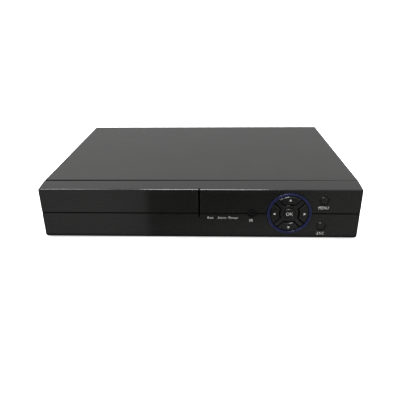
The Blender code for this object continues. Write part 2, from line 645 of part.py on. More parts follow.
def make_slot_port(name, x, half_width, height, start_y, mouths, colour):
    """Shielded socket: a metal box through the wall, with mouths (low z, high z, tongue z or None)."""
    end_y = REAR_Y + 0.0006
    port = box(name, (x - half_width, start_y, PART_Z), (x + half_width, end_y, PART_Z + height), tool=False)
    inner = half_width - 0.0007
    for low_z, high_z, tongue_z in mouths:
        low = (x - inner, end_y - 0.0110, PART_Z + low_z)
        cut(port, box(name + "_mouth", low, (x + inner, end_y + SHEET, PART_Z + high_z)))
        if tongue_z is not None:
            tongue_low = (x - inner + 0.0012, end_y - 0.0115, PART_Z + tongue_z)
            tongue_high = (x + inner - 0.0012, end_y - 0.0012, PART_Z + tongue_z + 0.0012)
            join(port, box(name + "_tongue", tongue_low, tongue_high))
    paint(port, colour, 0.3, 1.0)


def make_dc_jack():
    """Power inlet: moulded block with a round mouth and a centre pin."""
    end_y = REAR_Y + 0.0006
    z = PART_Z + 0.0060
    high = (DC_X + 0.0045, end_y, PART_Z + 0.0110)
    jack = box("power_inlet", (DC_X - 0.0045, 0.0900, PART_Z), high, tool=False)
    cut(jack, rod_y("inlet_mouth", (DC_X, z), end_y - 0.0095, end_y + SHEET, 0.0031, 16))
    join(jack, rod_y("inlet_pin", (DC_X, z), end_y - 0.0100, end_y - 0.0010, 0.0010, 8))
    paint(jack, (0.02, 0.02, 0.02), 0.35)


def make_connectors():
    for number, x in enumerate(BNC_X, 1):
        make_bnc_jack(f"camera_jack_{number}", x)
    make_rca_jack()
    make_vga_port()
    steel = (0.6, 0.6, 0.6)
    make_slot_port("hdmi_port", HDMI_X, 0.0075, 0.0062, 0.0920, [(0.0008, 0.0054, 0.0028)], steel)
    make_slot_port("lan_port", LAN_X, 0.0080, 0.0136, 0.0850, [(0.0010, 0.0115, None)], steel)
    usb_mouths = [(0.0010, 0.0063, 0.0040), (0.0093, 0.0146, 0.0123)]
    make_slot_port("usb_port", USB_X, 0.0066, 0.0157, 0.0880, usb_mouths, steel)
    make_dc_jack()


# Hard drive, fan and cables


def drive_screw_places():
    middle_x = DRIVE_LOW.x + DRIVE_SIZE.x / 2
    return [(middle_x + side * DRIVE_SCREW_X, y) for side in (-1, 1) for y in DRIVE_SCREW_Y]


def make_hard_drive():
    """Cast drive body with its board in a pocket underneath, held by four screws through the tray."""
    high = DRIVE_LOW + DRIVE_SIZE
    drive = box("hard_drive", DRIVE_LOW, high, tool=False)
    soften(drive, 0.0012, 2)
    pocket_low = (DRIVE_LOW.x + 0.012, DRIVE_LOW.y - SHEET, DRIVE_LOW.z - SHEET)
    cut(drive, box("board_pocket", pocket_low, (high.x - 0.012, DRIVE_LOW.y + 0.100, DRIVE_LOW.z + 0.0025)))
    socket_x = DRIVE_LOW.x + 0.030
    notch_low = (socket_x - 0.002, DRIVE_LOW.y - SHEET, DRIVE_LOW.z)
    cut(drive, box("socket_notch", notch_low, (socket_x + 0.046, DRIVE_LOW.y + 0.0100, DRIVE_LOW.z + 0.0085)))
    for x, y in drive_screw_places():
        cut(drive, rod("screw_hole", (x, y, 0), (x, y, DRIVE_LOW.z + 0.005), 0.0018, 10))
    paint(drive, (0.5, 0.5, 0.5), 0.35, 0.9)
    board_z = DRIVE_LOW.z + 0.0005
    board_low = (DRIVE_LOW.x + 0.013, DRIVE_LOW.y + 0.001, board_z)
    board_high = (high.x - 0.013, DRIVE_LOW.y + 0.098, board_z + 0.0015)
    board = box("drive_board", board_low, board_high, tool=False)
    socket_high = (socket_x + 0.044, DRIVE_LOW.y + 0.008, board_z + 0.0070)
    join(board, box("drive_socket", (socket_x, DRIVE_LOW.y, board_z), socket_high))
    paint(board, (0.02, 0.10, 0.06), 0.4)
    for number, (x, y) in enumerate(drive_screw_places(), 1):
        head_top = BASE_Z - GAP
        low = (x, y, head_top - 0.0013)
        screw = rod(f"drive_screw_{number}", (x, y, head_top), low, 0.0030, 14, False, 0.0024)
        join(screw, rod("drive_shank", (x, y, head_top - 0.0006), (x, y, DRIVE_LOW.z + 0.0040), 0.0014, 8))
        paint(screw, (0.5, 0.5, 0.5), 0.3, 1.0)


def make_fan():
    """40 mm axial fan: open frame with three struts, and a seven-blade rotor that turns about Y."""
    x, z = FAN
    half = FAN_SIZE / 2 - GAP
    back_y = WALL_Y - GAP
    front_y = back_y - FAN_DEPTH
    frame = box("fan_frame", (x - half, front_y, z - half), (x + half, back_y, z + half), tool=False)
    bore = rod_y("fan_bore", FAN, front_y - SHEET, back_y + SHEET, FAN_BORE, 32)
    cut(frame, bore)
    motor_end = front_y + 0.0015
    join(frame, rod_y("motor_plate", FAN, front_y, motor_end, 0.0100, 24))
    for turn in range(3):
        strut = box("strut", (0.0080, front_y, -0.0010), (0.0195, motor_end, 0.0010))
        angle = math.radians(90 + 120 * turn)
        reach = 0.01375
        strut.location = (x + reach * math.cos(angle), (front_y + motor_end) / 2, z + reach * math.sin(angle))
        strut.rotation_euler = (0, -angle, 0)
        join(frame, strut)
    for side_x in (-1, 1):
        for side_z in (-1, 1):
            place = (x + side_x * 0.016, z + side_z * 0.016)
            cut(frame, rod_y("fan_screw_hole", place, front_y - SHEET, back_y + SHEET, 0.0017, 8))
    paint(frame, (0.02, 0.02, 0.02), 0.45)
    hub_low, hub_high = motor_end + 0.0005, back_y - 0.0008
    rotor = rod_y("fan_rotor", FAN, hub_low, hub_high, 0.0105, 24, tool=False)
    for turn in range(7):
        blade = box("blade", (0.0095, hub_low + 0.0008, -0.0004), (0.0180, hub_high - 0.0008, 0.0004))
        angle = math.tau * turn / 7
        reach = 0.01375
        blade.location = (x + reach * math.cos(angle), (hub_low + hub_high) / 2, z + reach * math.sin(angle))
        blade.rotation_euler = (math.radians(35), -angle, 0)
        join(rotor, blade)
    paint(rotor, (0.02, 0.02, 0.02), 0.4)


def make_cables():
    """Drive data and power leads, the keypad's ribbon and the fan's lead."""
    plug_y = DRIVE_LOW.y - GAP
    data_x = DRIVE_LOW.x + 0.067
    data_route = (
        (data_x, plug_y - 0.012, 0.0090),
        (data_x + 0.001, plug_y - 0.018, 0.0090),
        (data_x + 0.010, -0.0860, 0.0090),
        (data_x + 0.026, -0.0870, 0.0090),
        (data_x + 0.043, -0.0800, 0.0090),
        (-0.0195, -0.0640, 0.0115),
        (-0.0180, -0.0480, 0.0130),
        (-0.0180, -0.0380, 0.0130),
    )
    data = ribbon("sata_cable", data_route, (0, 0, 0.0070), 0.0014)
    join(data, box("drive_plug", (data_x - 0.006, plug_y - 0.014, 0.0079), (data_x + 0.006, plug_y, 0.0150)))
    board_plug_y = -0.0270 - GAP
    join(data, box("board_plug", (-0.0225, -0.0405, 0.0122), (-0.0135, board_plug_y, 0.0205)))
    paint(data, (0.45, 0.02, 0.02), 0.45)
    power_x = DRIVE_LOW.x + 0.046
    power_route = (
        (power_x, plug_y - 0.010, 0.0125),
        (power_x, plug_y - 0.017, 0.0150),
        (power_x + 0.008, -0.0820, 0.0230),
        (power_x + 0.028, -0.0790, 0.0270),
        (-0.0480, -0.0740, 0.0280),
        (-0.0350, -0.0600, 0.0285),
        (-0.0300, -0.0360, 0.0280),
        (-0.0260, -0.0140, 0.0270),
        (-0.0240, -0.0040, 0.0235),
        (-0.0240, -0.0020, 0.0205),
    )
    power = wire("drive_power_cable", power_route, 0.0024)
    plug_low = (power_x - 0.0115, plug_y - 0.012, 0.0079)
    join(power, box("power_plug", plug_low, (power_x + 0.0115, plug_y, 0.0140)))
    socket_top = MAIN_HIGH.z + 0.0066
    plug_low = (-0.0295, -0.0055, socket_top + GAP)
    join(power, box("power_board_plug", plug_low, (-0.0185, 0.0015, socket_top + 0.0045)))
    paint(power, (0.03, 0.03, 0.03), 0.5)
    socket_y = KEYPAD_Y + BOARD_THICK + 0.0030
    ribbon_route = (
        (0.0550, socket_y + GAP, 0.0275),
        (0.0550, socket_y + 0.0040, 0.0277),
        (0.0550, -0.0870, 0.0262),
        (0.0550, -0.0700, 0.0200),
        (0.0550, -0.0520, 0.0150),
        (0.0550, -0.0350, 0.0145),
        (0.0550, -0.0268, 0.0148),
    )
    keypad = ribbon("keypad_ribbon", ribbon_route, (0.020, 0, 0), 0.0009)
    paint(keypad, (0.5, 0.5, 0.5), 0.5)
    fan_route = (
        (FAN[0] + 0.0120, 0.0905, FAN[1] + 0.0120),
        (FAN[0] + 0.0200, 0.0890, FAN[1] + 0.0150),
        (FAN[0] + 0.0360, 0.0895, FAN[1] + 0.0120),
        (-0.0430, 0.0890, 0.0300),
        (-0.0380, 0.0820, 0.0270),
        (-0.0360, 0.0680, 0.0250),
        (-0.0325, 0.0530, 0.0240),
        (-0.0310, 0.0455, 0.0225),
    )
    lead = wire("fan_lead", fan_route, 0.0012)
    plug_low = (-0.0335, 0.0425, socket_top - SHEET + GAP)
    join(lead, box("fan_plug", plug_low, (-0.0285, 0.0475, socket_top + 0.0045)))
    paint(lead, (0.03, 0.03, 0.03), 0.5)


make_chassis()
make_cover()
make_feet()
make_front_panel()
make_dpad_ring()
make_dpad_frame()
make_keys()
make_window_and_lamps()
make_keypad()
make_main_board()
make_chips()
make_connectors()
make_hard_drive()
make_fan()
make_cables()
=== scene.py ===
import math
import random

import bmesh
import bpy
from mathutils import Matrix, Vector


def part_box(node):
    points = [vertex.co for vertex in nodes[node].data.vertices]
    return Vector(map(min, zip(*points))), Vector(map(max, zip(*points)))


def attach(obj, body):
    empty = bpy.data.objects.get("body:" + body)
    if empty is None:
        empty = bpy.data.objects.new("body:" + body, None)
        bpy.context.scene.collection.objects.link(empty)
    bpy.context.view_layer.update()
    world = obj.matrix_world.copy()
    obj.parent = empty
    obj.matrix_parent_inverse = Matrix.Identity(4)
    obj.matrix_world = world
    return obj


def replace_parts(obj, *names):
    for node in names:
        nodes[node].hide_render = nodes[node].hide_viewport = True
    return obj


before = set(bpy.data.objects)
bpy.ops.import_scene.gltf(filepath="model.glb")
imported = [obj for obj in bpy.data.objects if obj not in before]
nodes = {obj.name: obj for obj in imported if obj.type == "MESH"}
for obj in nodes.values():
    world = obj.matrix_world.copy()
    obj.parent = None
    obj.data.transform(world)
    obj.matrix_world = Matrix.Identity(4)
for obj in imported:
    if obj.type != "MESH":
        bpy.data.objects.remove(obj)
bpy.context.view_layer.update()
MM = 0.001

# Chassis tray
# A tray folded from 1 mm zinc-plated sheet steel, with its rear wall pierced for the sockets and the fan.
# It is powder-coated black after folding, which leaves a fine pebbled skin with a soft sheen.


def srgb(code):
    """A six-digit sRGB hex code as linear red, green, blue and alpha."""
    channels = [int(code[i : i + 2], 16) / 255 for i in (0, 2, 4)]
    linear = [c / 12.92 if c <= 0.04045 else ((c + 0.055) / 1.055) ** 2.4 for c in channels]
    return (*linear, 1.0)


def add_node(tree, kind, inputs, **settings):
    """Adds a node, with its settings and with a value or a link for each input named."""
    made = tree.nodes.new(kind)
    for setting, value in settings.items():
        setattr(made, setting, value)
    for socket, value in inputs.items():
        if isinstance(value, bpy.types.NodeSocket):
            tree.links.new(value, made.inputs[socket])
        else:
            made.inputs[socket].default_value = value
    return made


def surface(name, dark, light, rough, grain_mm, relief_mm, drift_mm=35, slot="", **sockets):
    """A material whose tone drifts over drift_mm, with a grain that shows in its gloss and its relief."""
    material = bpy.data.materials.new(name)
    material["slot"] = slot
    material.use_nodes = True
    tree = material.node_tree
    shader = tree.nodes["Principled BSDF"]
    for socket, value in sockets.items():
        shader.inputs[socket.replace("_", " ")].default_value = value
    place = add_node(tree, "ShaderNodeTexCoord", {}).outputs["Object"]
    drift = add_node(tree, "ShaderNodeTexNoise", {"Vector": place, "Scale": 1000 / drift_mm, "Detail": 4.0})
    tones = {0: drift.outputs["Fac"], 6: srgb(dark), 7: srgb(light)}
    tone = add_node(tree, "ShaderNodeMix", tones, data_type="RGBA")
    grain = add_node(tree, "ShaderNodeTexNoise", {"Vector": place, "Scale": 1000 / grain_mm, "Detail": 3.0})
    spread = {"From Min": 0.3, "From Max": 0.7, "To Min": rough[0], "To Max": rough[1]}
    gloss = add_node(tree, "ShaderNodeMapRange", {"Value": grain.outputs["Fac"], **spread})
    relief = add_node(tree, "ShaderNodeBump", {"Height": grain.outputs["Fac"], "Distance": relief_mm * MM})
    tree.links.new(tone.outputs[2], shader.inputs["Base Color"])
    tree.links.new(gloss.outputs["Result"], shader.inputs["Roughness"])
    tree.links.new(relief.outputs["Normal"], shader.inputs["Normal"])
    return material


def coat(node, material):
    """Gives a CAD node that keeps its own shape its finished material."""
    nodes[node].data.materials.clear()
    nodes[node].data.materials.append(material)


powder_coat = surface(
    "powder_coated_steel", "181817", "20201f", (0.34, 0.44), 0.8, 0.008, IOR=1.45, slot="painted_steel"
)
coat("chassis_tray", powder_coat)

# Top cover
# Roof, two sides and a narrow rear flange folded from one steel sheet, with punched vents in each side.
# It has the tray's powder coat, slides under the front panel's lip and takes four screws at the back.


def shade(mesh, sharp=32):
    """Smooth shading, broken at edges sharper than this many degrees."""
    mesh.polygons.foreach_set("use_smooth", [True] * len(mesh.polygons))
    mesh.set_sharp_from_angle(angle=math.radians(sharp))


def make_piece(bm, name, material, body="case", sharp=32):
    """Makes the finished bmesh a piece on a CAD body, with its material."""
    bmesh.ops.recalc_face_normals(bm, faces=bm.faces)
    mesh = bpy.data.meshes.new(name)
    bm.to_mesh(mesh)
    bm.free()
    mesh.materials.append(material)
    shade(mesh, sharp)
    obj = bpy.data.objects.new(name, mesh)
    bpy.context.scene.collection.objects.link(obj)
    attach(obj, body)
    even = obj.modifiers.new("even_normals", "WEIGHTED_NORMAL")
    even.keep_sharp = True
    return obj


def block(bm, low, high):
    """Adds a box between two corners and returns its points."""
    low, high = Vector(low), Vector(high)
    matrix = Matrix.Translation((low + high) / 2) @ Matrix.Diagonal((*(high - low), 1))
    return bmesh.ops.create_cube(bm, size=1, matrix=matrix)["verts"]


def round_edges(bm, edges, radius, segments=3):
    """Rounds these edges, or with one segment chamfers them."""
    bmesh.ops.bevel(
        bm, geom=list(edges), offset=radius, segments=segments, profile=0.5, affect="EDGES", material=-1
    )


def soft_block(bm, low, high, radius, segments=2):
    """Adds a box with rounded edges."""
    edges = {edge for vert in block(bm, low, high) for edge in vert.link_edges}
    round_edges(bm, edges, radius, segments)


def cylinder(bm, start, end, radius, sides=32, end_radius=None):
    """Adds a cylinder or cone from start to end and returns its points."""
    start, end = Vector(start), Vector(end)
    along = end - start
    turn = along.to_track_quat("Z", "Y").to_matrix().to_4x4()
    return bmesh.ops.create_cone(
        bm,
        cap_ends=True,
        segments=sides,
        radius1=radius,
        radius2=radius if end_radius is None else end_radius,
        depth=along.length,
        matrix=Matrix.Translation((start + end) / 2) @ turn,
    )["verts"]


def rod_y(bm, place, low_y, high_y, radius, sides=40):
    """Adds a cylinder along Y at place, which is (x, z)."""
    return cylinder(bm, (place[0], low_y, place[1]), (place[0], high_y, place[1]), radius, sides)


def carve(obj, bm, operation="DIFFERENCE"):
    """Takes the closed shapes in the bmesh away from a piece, or adds them to it."""
    bmesh.ops.recalc_face_normals(bm, faces=bm.faces)
    mesh = bpy.data.meshes.new("carving_tool")
    bm.to_mesh(mesh)
    bm.free()
    tool = bpy.data.objects.new("carving_tool", mesh)
    bpy.context.scene.collection.objects.link(tool)
    boolean = obj.modifiers.new("carve", "BOOLEAN")
    boolean.operation = operation
    boolean.object = tool
    boolean.use_self = True
    even = obj.modifiers["even_normals"]
    even.show_viewport = False
    bpy.context.view_layer.update()
    carved = bpy.data.meshes.new_from_object(obj.evaluated_get(bpy.context.evaluated_depsgraph_get()))
    obj.modifiers.remove(boolean)
    bpy.data.objects.remove(tool)
    obj.data = carved
    even.show_viewport = True
    shade(carved)


cover_low, cover_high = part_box("top_cover")
sheet = 1.0 * MM
flange_height = 8.6 * MM
fold_radius, undercut, roof_setback = 1.4 * MM, 0.8 * MM, 0.45 * MM
middle_z = 0.03
bm = bmesh.new()
block(bm, cover_low, cover_high)
for vert in bm.verts:
    if vert.co.y < 0 and vert.co.z > middle_z:
        vert.co.y += roof_setback
folds = [
    edge
    for edge in bm.edges
    if all(v.co.z > middle_z for v in edge.verts) and not all(v.co.y < 0 for v in edge.verts)
]
round_edges(bm, folds, fold_radius, 4)
open_faces = [face for face in bm.faces if face.normal.y < -0.9 or face.normal.z < -0.9]
bmesh.ops.delete(bm, geom=open_faces, context="FACES")
flange_z = cover_high.z - flange_height
rear_face = [face for face in bm.faces if face.normal.y > 0.9]
rear_edges = {edge for face in rear_face for edge in face.edges}
rear_points = {vert for face in rear_face for vert in face.verts}
rear = [*rear_face, *rear_edges, *rear_points]
bmesh.ops.bisect_plane(bm, geom=rear, plane_co=(0, 0, flange_z), plane_no=(0, 0, 1))
below = [face for face in bm.faces if face.normal.y > 0.9 and face.calc_center_median().z < flange_z]
bmesh.ops.delete(bm, geom=below, context="FACES")
bmesh.ops.recalc_face_normals(bm, faces=bm.faces)
if sum(face.normal.z for face in bm.faces) < 0:
    bmesh.ops.reverse_faces(bm, faces=bm.faces)
bmesh.ops.solidify(bm, geom=bm.faces, thickness=sheet)
roof_underside = cover_high.z - sheet
front_lip = [
    edge
    for edge in bm.edges
    if all(v.co.y < cover_low.y + sheet and abs(v.co.z - roof_underside) < 0.1 * MM for v in edge.verts)
]
round_edges(bm, front_lip, undercut, 1)
cover = make_piece(bm, "cover_sheet", powder_coat, "cover")
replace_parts(cover, "top_cover")
bm = bmesh.new()
vent_low, vent_high, vent_width, vent_pitch = 21.0 * MM, 41.0 * MM, 3.0 * MM, 8.0 * MM
for side in (-1, 1):
    start, end = sorted((side * (cover_high.x - 4 * sheet), side * (cover_high.x + 2 * sheet)))
    for i in range(7):
        y = cover_low.y + 30.0 * MM + i * vent_pitch
        points = block(bm, (start, y, vent_low), (end, y + vent_width, vent_high))
        edges = {edge for vert in points for edge in vert.link_edges}
        ends = [edge for edge in edges if abs(edge.verts[0].co.x - edge.verts[1].co.x) > sheet]
        round_edges(bm, ends, vent_width * 0.45, 4)
screw_boxes = [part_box(f"cover_screw_{i}") for i in (1, 2, 3, 4)]
for low, high in screw_boxes:
    spot = (low + high) / 2
    rod_y(bm, (spot.x, spot.z), cover_high.y - 3 * sheet, cover_high.y + sheet, 1.7 * MM, 24)
carve(cover, bm)

# Cover screws
# Four M3 pan-head screws in zinc-plated steel, with a cross recess, driven forwards into the rear wall.
# They come away with the cover.

zinc_plate = surface(
    "zinc_plated_steel", "8d9094", "a9abad", (0.25, 0.38), 0.4, 0.004, 8, Metallic=1.0, slot="screw_steel"
)


def cut(obj, shape, *where, operation="DIFFERENCE"):
    """Carves a piece with one shape, given as its function and what that takes."""
    bm = bmesh.new()
    shape(bm, *where)
    carve(obj, bm, operation)


def shaped(name, material, shape, *where, body="case"):
    """A piece that is one shape, given as its function and what that takes."""
    bm = bmesh.new()
    shape(bm, *where)
    return make_piece(bm, name, material, body)


def turned(bm, profile, centre, steps=40, axis=(0, 1, 0)):
    """Spins a profile of (radius, distance along the axis) points, in millimetres, about the centre."""
    centre, along = Vector(centre), Vector(axis)
    places = [centre + Vector((radius * MM, 0, 0)) + along * reach * MM for radius, reach in profile]
    points = [bm.verts.new(place) for place in places]
    line = [bm.edges.new(pair) for pair in zip(points, points[1:])]
    whole = {"cent": centre, "axis": along, "dvec": (0, 0, 0), "angle": math.tau, "steps": steps}
    bmesh.ops.spin(bm, geom=[*points, *line], use_merge=True, **whole)
    bmesh.ops.remove_doubles(bm, verts=bm.verts, dist=0.001 * MM)


def pan_head(bm, place, axis, radius, height, length):
    """A screw with a domed head that stands at place and a shank that runs back, sizes in millimetres."""
    profile = [(0, height)]
    for a in (1.1, 0.7, 0.35, 0.0):
        profile.append((radius * math.cos(a), height * (0.35 + 0.65 * math.sin(a))))
    profile += [(radius, 0), (radius / 2, 0), (radius / 2, -length), (0, -length)]
    turned(bm, profile, place, 28, axis)


def cross_recess(bm, place, axis, arm, depth):
    """Two crossed blades that cut a screw's recess."""
    place, along = Vector(place), Vector(axis)
    other = Vector((1, 0, 0))
    third = along.cross(other)
    for wide, thin in ((other, third), (third, other)):
        reach = wide * arm + thin * arm * 0.22 + along * depth
        reach = Vector(tuple(map(abs, reach)))
        block(bm, place - reach, place + reach)


def cross_head(name, place, axis, head, length, recess, body="case"):
    """A pan-head screw: its head's radius and height, its length, and its recess's arm and depth, in mm."""
    screw = shaped(name, zinc_plate, pan_head, place, axis, *head, length, body=body)
    arm, depth = recess
    cut(screw, cross_recess, Vector(place) + Vector(axis) * head[1] * MM, axis, arm * MM, depth * MM)
    return screw


for number, (low, high) in enumerate(screw_boxes, 1):
    spot = ((low.x + high.x) / 2, high.y - 1.8 * MM, (low.z + high.z) / 2)
    length = (spot[1] - low.y) / MM
    screw = cross_head(f"cover_fixing_{number}", spot, (0, 1, 0), (2.8, 1.8), length, (1.5, 0.9), "cover")
    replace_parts(screw, f"cover_screw_{number}")

# Rubber feet
# Four turned pads of soft black rubber, glued under the tray, with a shallow hollow that grips the shelf.
# Rubber is dull, with a faint dusty bloom.

soft_rubber = surface("moulded_rubber", "141414", "1e1e1d", (0.7, 0.85), 0.5, 0.02, slot="foot_rubber")
for number in (1, 2, 3, 4):
    low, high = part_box(f"foot_{number}")
    radius, height = (high.x - low.x) / 2 / MM, (high.z - low.z) / MM
    middle = ((low.x + high.x) / 2, (low.y + high.y) / 2, low.z)
    rim = [(0, 0.5), (0.55 * radius, 0.5), (0.62 * radius, 0), (0.84 * radius, 0), (0.90 * radius, 0.25)]
    rim += [(radius, height), (0, height)]
    pad = shaped(f"rubber_foot_{number}", soft_rubber, turned, rim, middle, 40, (0, 0, 1))
    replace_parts(pad, f"foot_{number}")

# Front panel
# An injection-moulded shell in glossy black ABS, narrowing a little towards its face, open at the back.
# Its polished mould leaves a mirror-like skin with faint wiping marks; grooves divide the face.

gloss_abs = surface(
    "polished_black_abs", "050605", "090a08", (0.09, 0.14), 6.0, 0.0005, 60, IOR=1.47, slot="black_abs"
)
panel_low, panel_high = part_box("front_panel")
face_y = panel_low.y
panel_back = -93.05 * MM
wall = 2.5 * MM
taper = 0.987
seam_drift = 0.008
ring_low, ring_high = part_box("dpad_ring")
dpad = ((ring_low.x + ring_high.x) / 2, (ring_low.z + ring_high.z) / 2)
ring_outer = (ring_high.x - ring_low.x) / 2
groove_z = (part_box("light_pipe")[0].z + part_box("light_pipe")[1].z) / 2
lamps_x = (10.8 * MM, 21.2 * MM, 32.1 * MM)


def middle_of(node):
    low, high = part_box(node)
    return (low.x + high.x) / 2, (low.z + high.z) / 2


bm = bmesh.new()
block(bm, (panel_low.x, face_y, panel_low.z), (panel_high.x, panel_back, panel_high.z))
for upper, radius, segments in ((True, 1.2 * MM, 4), (False, 2.4 * MM, 6)):
    corners = [
        edge
        for edge in bm.edges
        if abs(edge.verts[0].co.y - edge.verts[1].co.y) > wall and (edge.verts[0].co.z > middle_z) == upper
    ]
    round_edges(bm, corners, radius, segments)
front = [vert for vert in bm.verts if vert.co.y < face_y + wall]
bmesh.ops.scale(bm, vec=(taper, 1, 1), verts=front)
rim = [edge for edge in bm.edges if all(v.co.y < face_y + 0.1 * MM for v in edge.verts)]
round_edges(bm, rim, 0.9 * MM, 6)
for vert in bm.verts:
    if vert.co.y > panel_back - MM and vert.co.z > middle_z:
        vert.co.y += vert.co.x * seam_drift
panel = make_piece(bm, "panel_moulding", gloss_abs)
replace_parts(panel, "front_panel")

inside_x = panel_high.x * taper - wall
inside_low = (-inside_x, face_y + wall, panel_low.z + wall)
cut(panel, block, inside_low, (inside_x, panel_back + wall, panel_high.z - wall))
lip_low, lip_high = Vector((-143, -96.05, 0)) * MM, Vector((143, -88.15, 0)) * MM
lip_high.z = cover_high.z - sheet - 0.3 * MM
lip_low.z = lip_high.z - 1.5 * MM
cut(panel, block, lip_low, lip_high, operation="UNION")

groove_depth, groove_half = 1.8 * MM, 0.65 * MM
past_side = 0.16
bm = bmesh.new()
for start, end in ((-past_side, dpad[0] - ring_outer), (dpad[0] + ring_outer, past_side)):
    low = (start, face_y - wall, groove_z - groove_half)
    block(bm, low, (end, face_y + groove_depth, groove_z + groove_half))
slot_x, slot_half, slot_low_z, slot_depth = 0.4 * MM, 0.75 * MM, 23 * MM, 2.8 * MM
block(bm, (slot_x - slot_half, face_y - wall, slot_low_z), (slot_x + slot_half, face_y + slot_depth, 0.06))
rod_y(bm, dpad, face_y - wall, face_y + sheet, ring_outer + 0.25 * MM, 96)
carve(panel, bm)
bm = bmesh.new()
behind = face_y + 2 * wall
rod_y(bm, dpad, face_y - wall, behind, 17.6 * MM, 96)
for key in ("menu_key", "esc_key"):
    rod_y(bm, middle_of(key), face_y - wall, behind, 4.4 * MM, 48)
window = middle_of("ir_window")
rod_y(bm, window, face_y - wall, behind, 4.35 * MM, 48)
for x in lamps_x:
    rod_y(bm, (x, groove_z), face_y - wall, behind, 1.0 * MM, 16)
carve(panel, bm)
keypad_y = face_y + 13 * MM
keypad_back = keypad_y + 1.6 * MM
stakes = [(x * MM, z * MM) for x in (9, 127) for z in (12, 43)]
pin = [(0, -1.0), (1.1, -1.0), (1.1, 1.9), (2.2, 1.9), (1.7, 2.7), (0, 2.9)]
for x, z in stakes:
    cut(panel, rod_y, (x, z), face_y + wall - 0.5 * MM, keypad_y - 0.3 * MM, 3.0 * MM, 24, operation="UNION")
    cut(panel, turned, pin, (x, keypad_y, z), 24, operation="UNION")

# Trim ring
# A rounded ring moulded in dark blue ABS and pressed into its seat around the arrow keys.
# Its polished crown catches a thin violet-blue highlight.

satin = {"Specular_IOR_Level": 0.3}
blue_abs = surface(
    "satin_blue_abs", "050920", "090c28", (0.24, 0.32), 3.0, 0.001, 14, slot="ring_blue", **satin
)
ring_inner, ring_edge, foot = 17.9, ring_outer / MM, 0.7
bead_half = (ring_edge - ring_inner) / 2
rise = [(1.0, 0.75), (0.96, 0.95), (0.86, 1.08), (0.6, 1.14), (0.3, 1.18)]
crown = [*rise, (0, 1.2), *((-reach, height) for reach, height in reversed(rise))]
profile = [(ring_inner + bead_half * (1 + reach), -height) for reach, height in crown]
profile = [(ring_edge, foot), *profile, (ring_inner, foot), (ring_edge, foot)]
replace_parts(shaped("trim_ring", blue_abs, turned, profile, (dpad[0], face_y, dpad[1]), 96), "dpad_ring")

# Arrow-key frame
# A fixed black ABS cross with a round hub, moulded on a rim that clips behind the panel.
# It is textured a little, so it looks duller than the panel.

satin_abs = surface(
    "textured_black_abs", "070807", "0b0c0b", (0.14, 0.2), 0.5, 0.001, IOR=1.45, slot="black_abs"
)
spoke_half = 1.95
hub_radius = 8.25
frame_front, frame_back = face_y - 0.3 * MM, face_y + 4.3 * MM


def sector(inner, outer, side_gap, middle, steps=14):
    """A quarter of a ring about the angle middle, with straight sides side_gap away from the diagonals."""
    outline = []
    for radius, way in ((outer, 1), (inner, -1)):
        half = math.pi / 4 - math.asin(side_gap / radius)
        for i in range(steps + 1):
            angle = middle + way * half * (2 * i / steps - 1)
            outline.append((radius * math.cos(angle), radius * math.sin(angle)))
    return outline


def slab(bm, outline, low_y, high_y, centre=(0, 0)):
    """Adds an outline of (x, z) points in millimetres, extruded along Y, and returns its faces at low_y."""
    rim = [bm.verts.new((centre[0] + x * MM, high_y, centre[1] + z * MM)) for x, z in outline]
    face = bm.faces.new(rim)
    pushed = bmesh.ops.extrude_face_region(bm, geom=[face])["geom"]
    moved = [item for item in pushed if isinstance(item, bmesh.types.BMVert)]
    bmesh.ops.translate(bm, vec=(0, low_y - high_y, 0), verts=moved)
    return [item for item in pushed if isinstance(item, bmesh.types.BMFace)]


def soften_edges(obj, name, width, segments, degrees):
    """Adds a live bevel on edges sharper than this many degrees, ahead of the last modifier."""
    bevel = obj.modifiers.new(name, "BEVEL")
    bevel.width = width
    bevel.segments = segments
    bevel.limit_method = "ANGLE"
    bevel.angle_limit = math.radians(degrees)
    last = len(obj.modifiers) - 1
    obj.modifiers.move(last, last - 1)


cross = shaped("key_cross", satin_abs, rod_y, dpad, face_y + 2.8 * MM, frame_back, 20.8 * MM, 72)
cut(cross, rod_y, dpad, frame_front, frame_back - 0.5 * MM, 17.2 * MM, 72, operation="UNION")
bm = bmesh.new()
for turn in range(4):
    slab(bm, sector(hub_radius, 17.9, spoke_half, math.pi / 2 * turn), face_y - wall, behind, dpad)
rod_y(bm, dpad, face_y - wall, behind, 5.45 * MM, 48)
carve(cross, bm)
soften_edges(cross, "mould_radius", 0.25 * MM, 2, 50)
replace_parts(cross, "dpad_frame")

# Keys
# Seven black ABS keys with a soft satin skin: four quarter-ring arrows, OK in the hub, MENU and ESC beside.
# Each has a rear flange that keeps it in its hole and a stem that reaches its switch.

key_abs = surface(
    "satin_black_abs", "050605", "090a08", (0.11, 0.16), 0.6, 0.0006, IOR=1.46, slot="black_abs"
)
key_front = face_y - 1.2 * MM
stem_end = face_y + 7.7 * MM
flange_y = (face_y + 4.6 * MM, face_y + 5.6 * MM)
ways = {"right": 0, "up": math.pi / 2, "left": math.pi, "down": -math.pi / 2}


def towards(middle, reach):
    """The (x, z) place this many millimetres from the ring's centre in the direction middle."""
    return dpad[0] + reach * MM * math.cos(middle), dpad[1] + reach * MM * math.sin(middle)


for way, middle in ways.items():
    bm = bmesh.new()
    caps = slab(bm, sector(9.4, 17.3, spoke_half + 1.0, middle), key_front, flange_y[0] + 0.3 * MM, dpad)
    round_edges(bm, {edge for face in caps for edge in face.edges}, 1.0 * MM, 6)
    key = make_piece(bm, f"{way}_arrow_key", key_abs, f"{way}_key")
    cut(key, slab, sector(9.4, 19.5, 3.0, middle), *flange_y, dpad, operation="UNION")
    cut(key, rod_y, towards(middle, 13.5), flange_y[0], stem_end, 1.5 * MM, 16, operation="UNION")
    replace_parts(key, f"{way}_key")

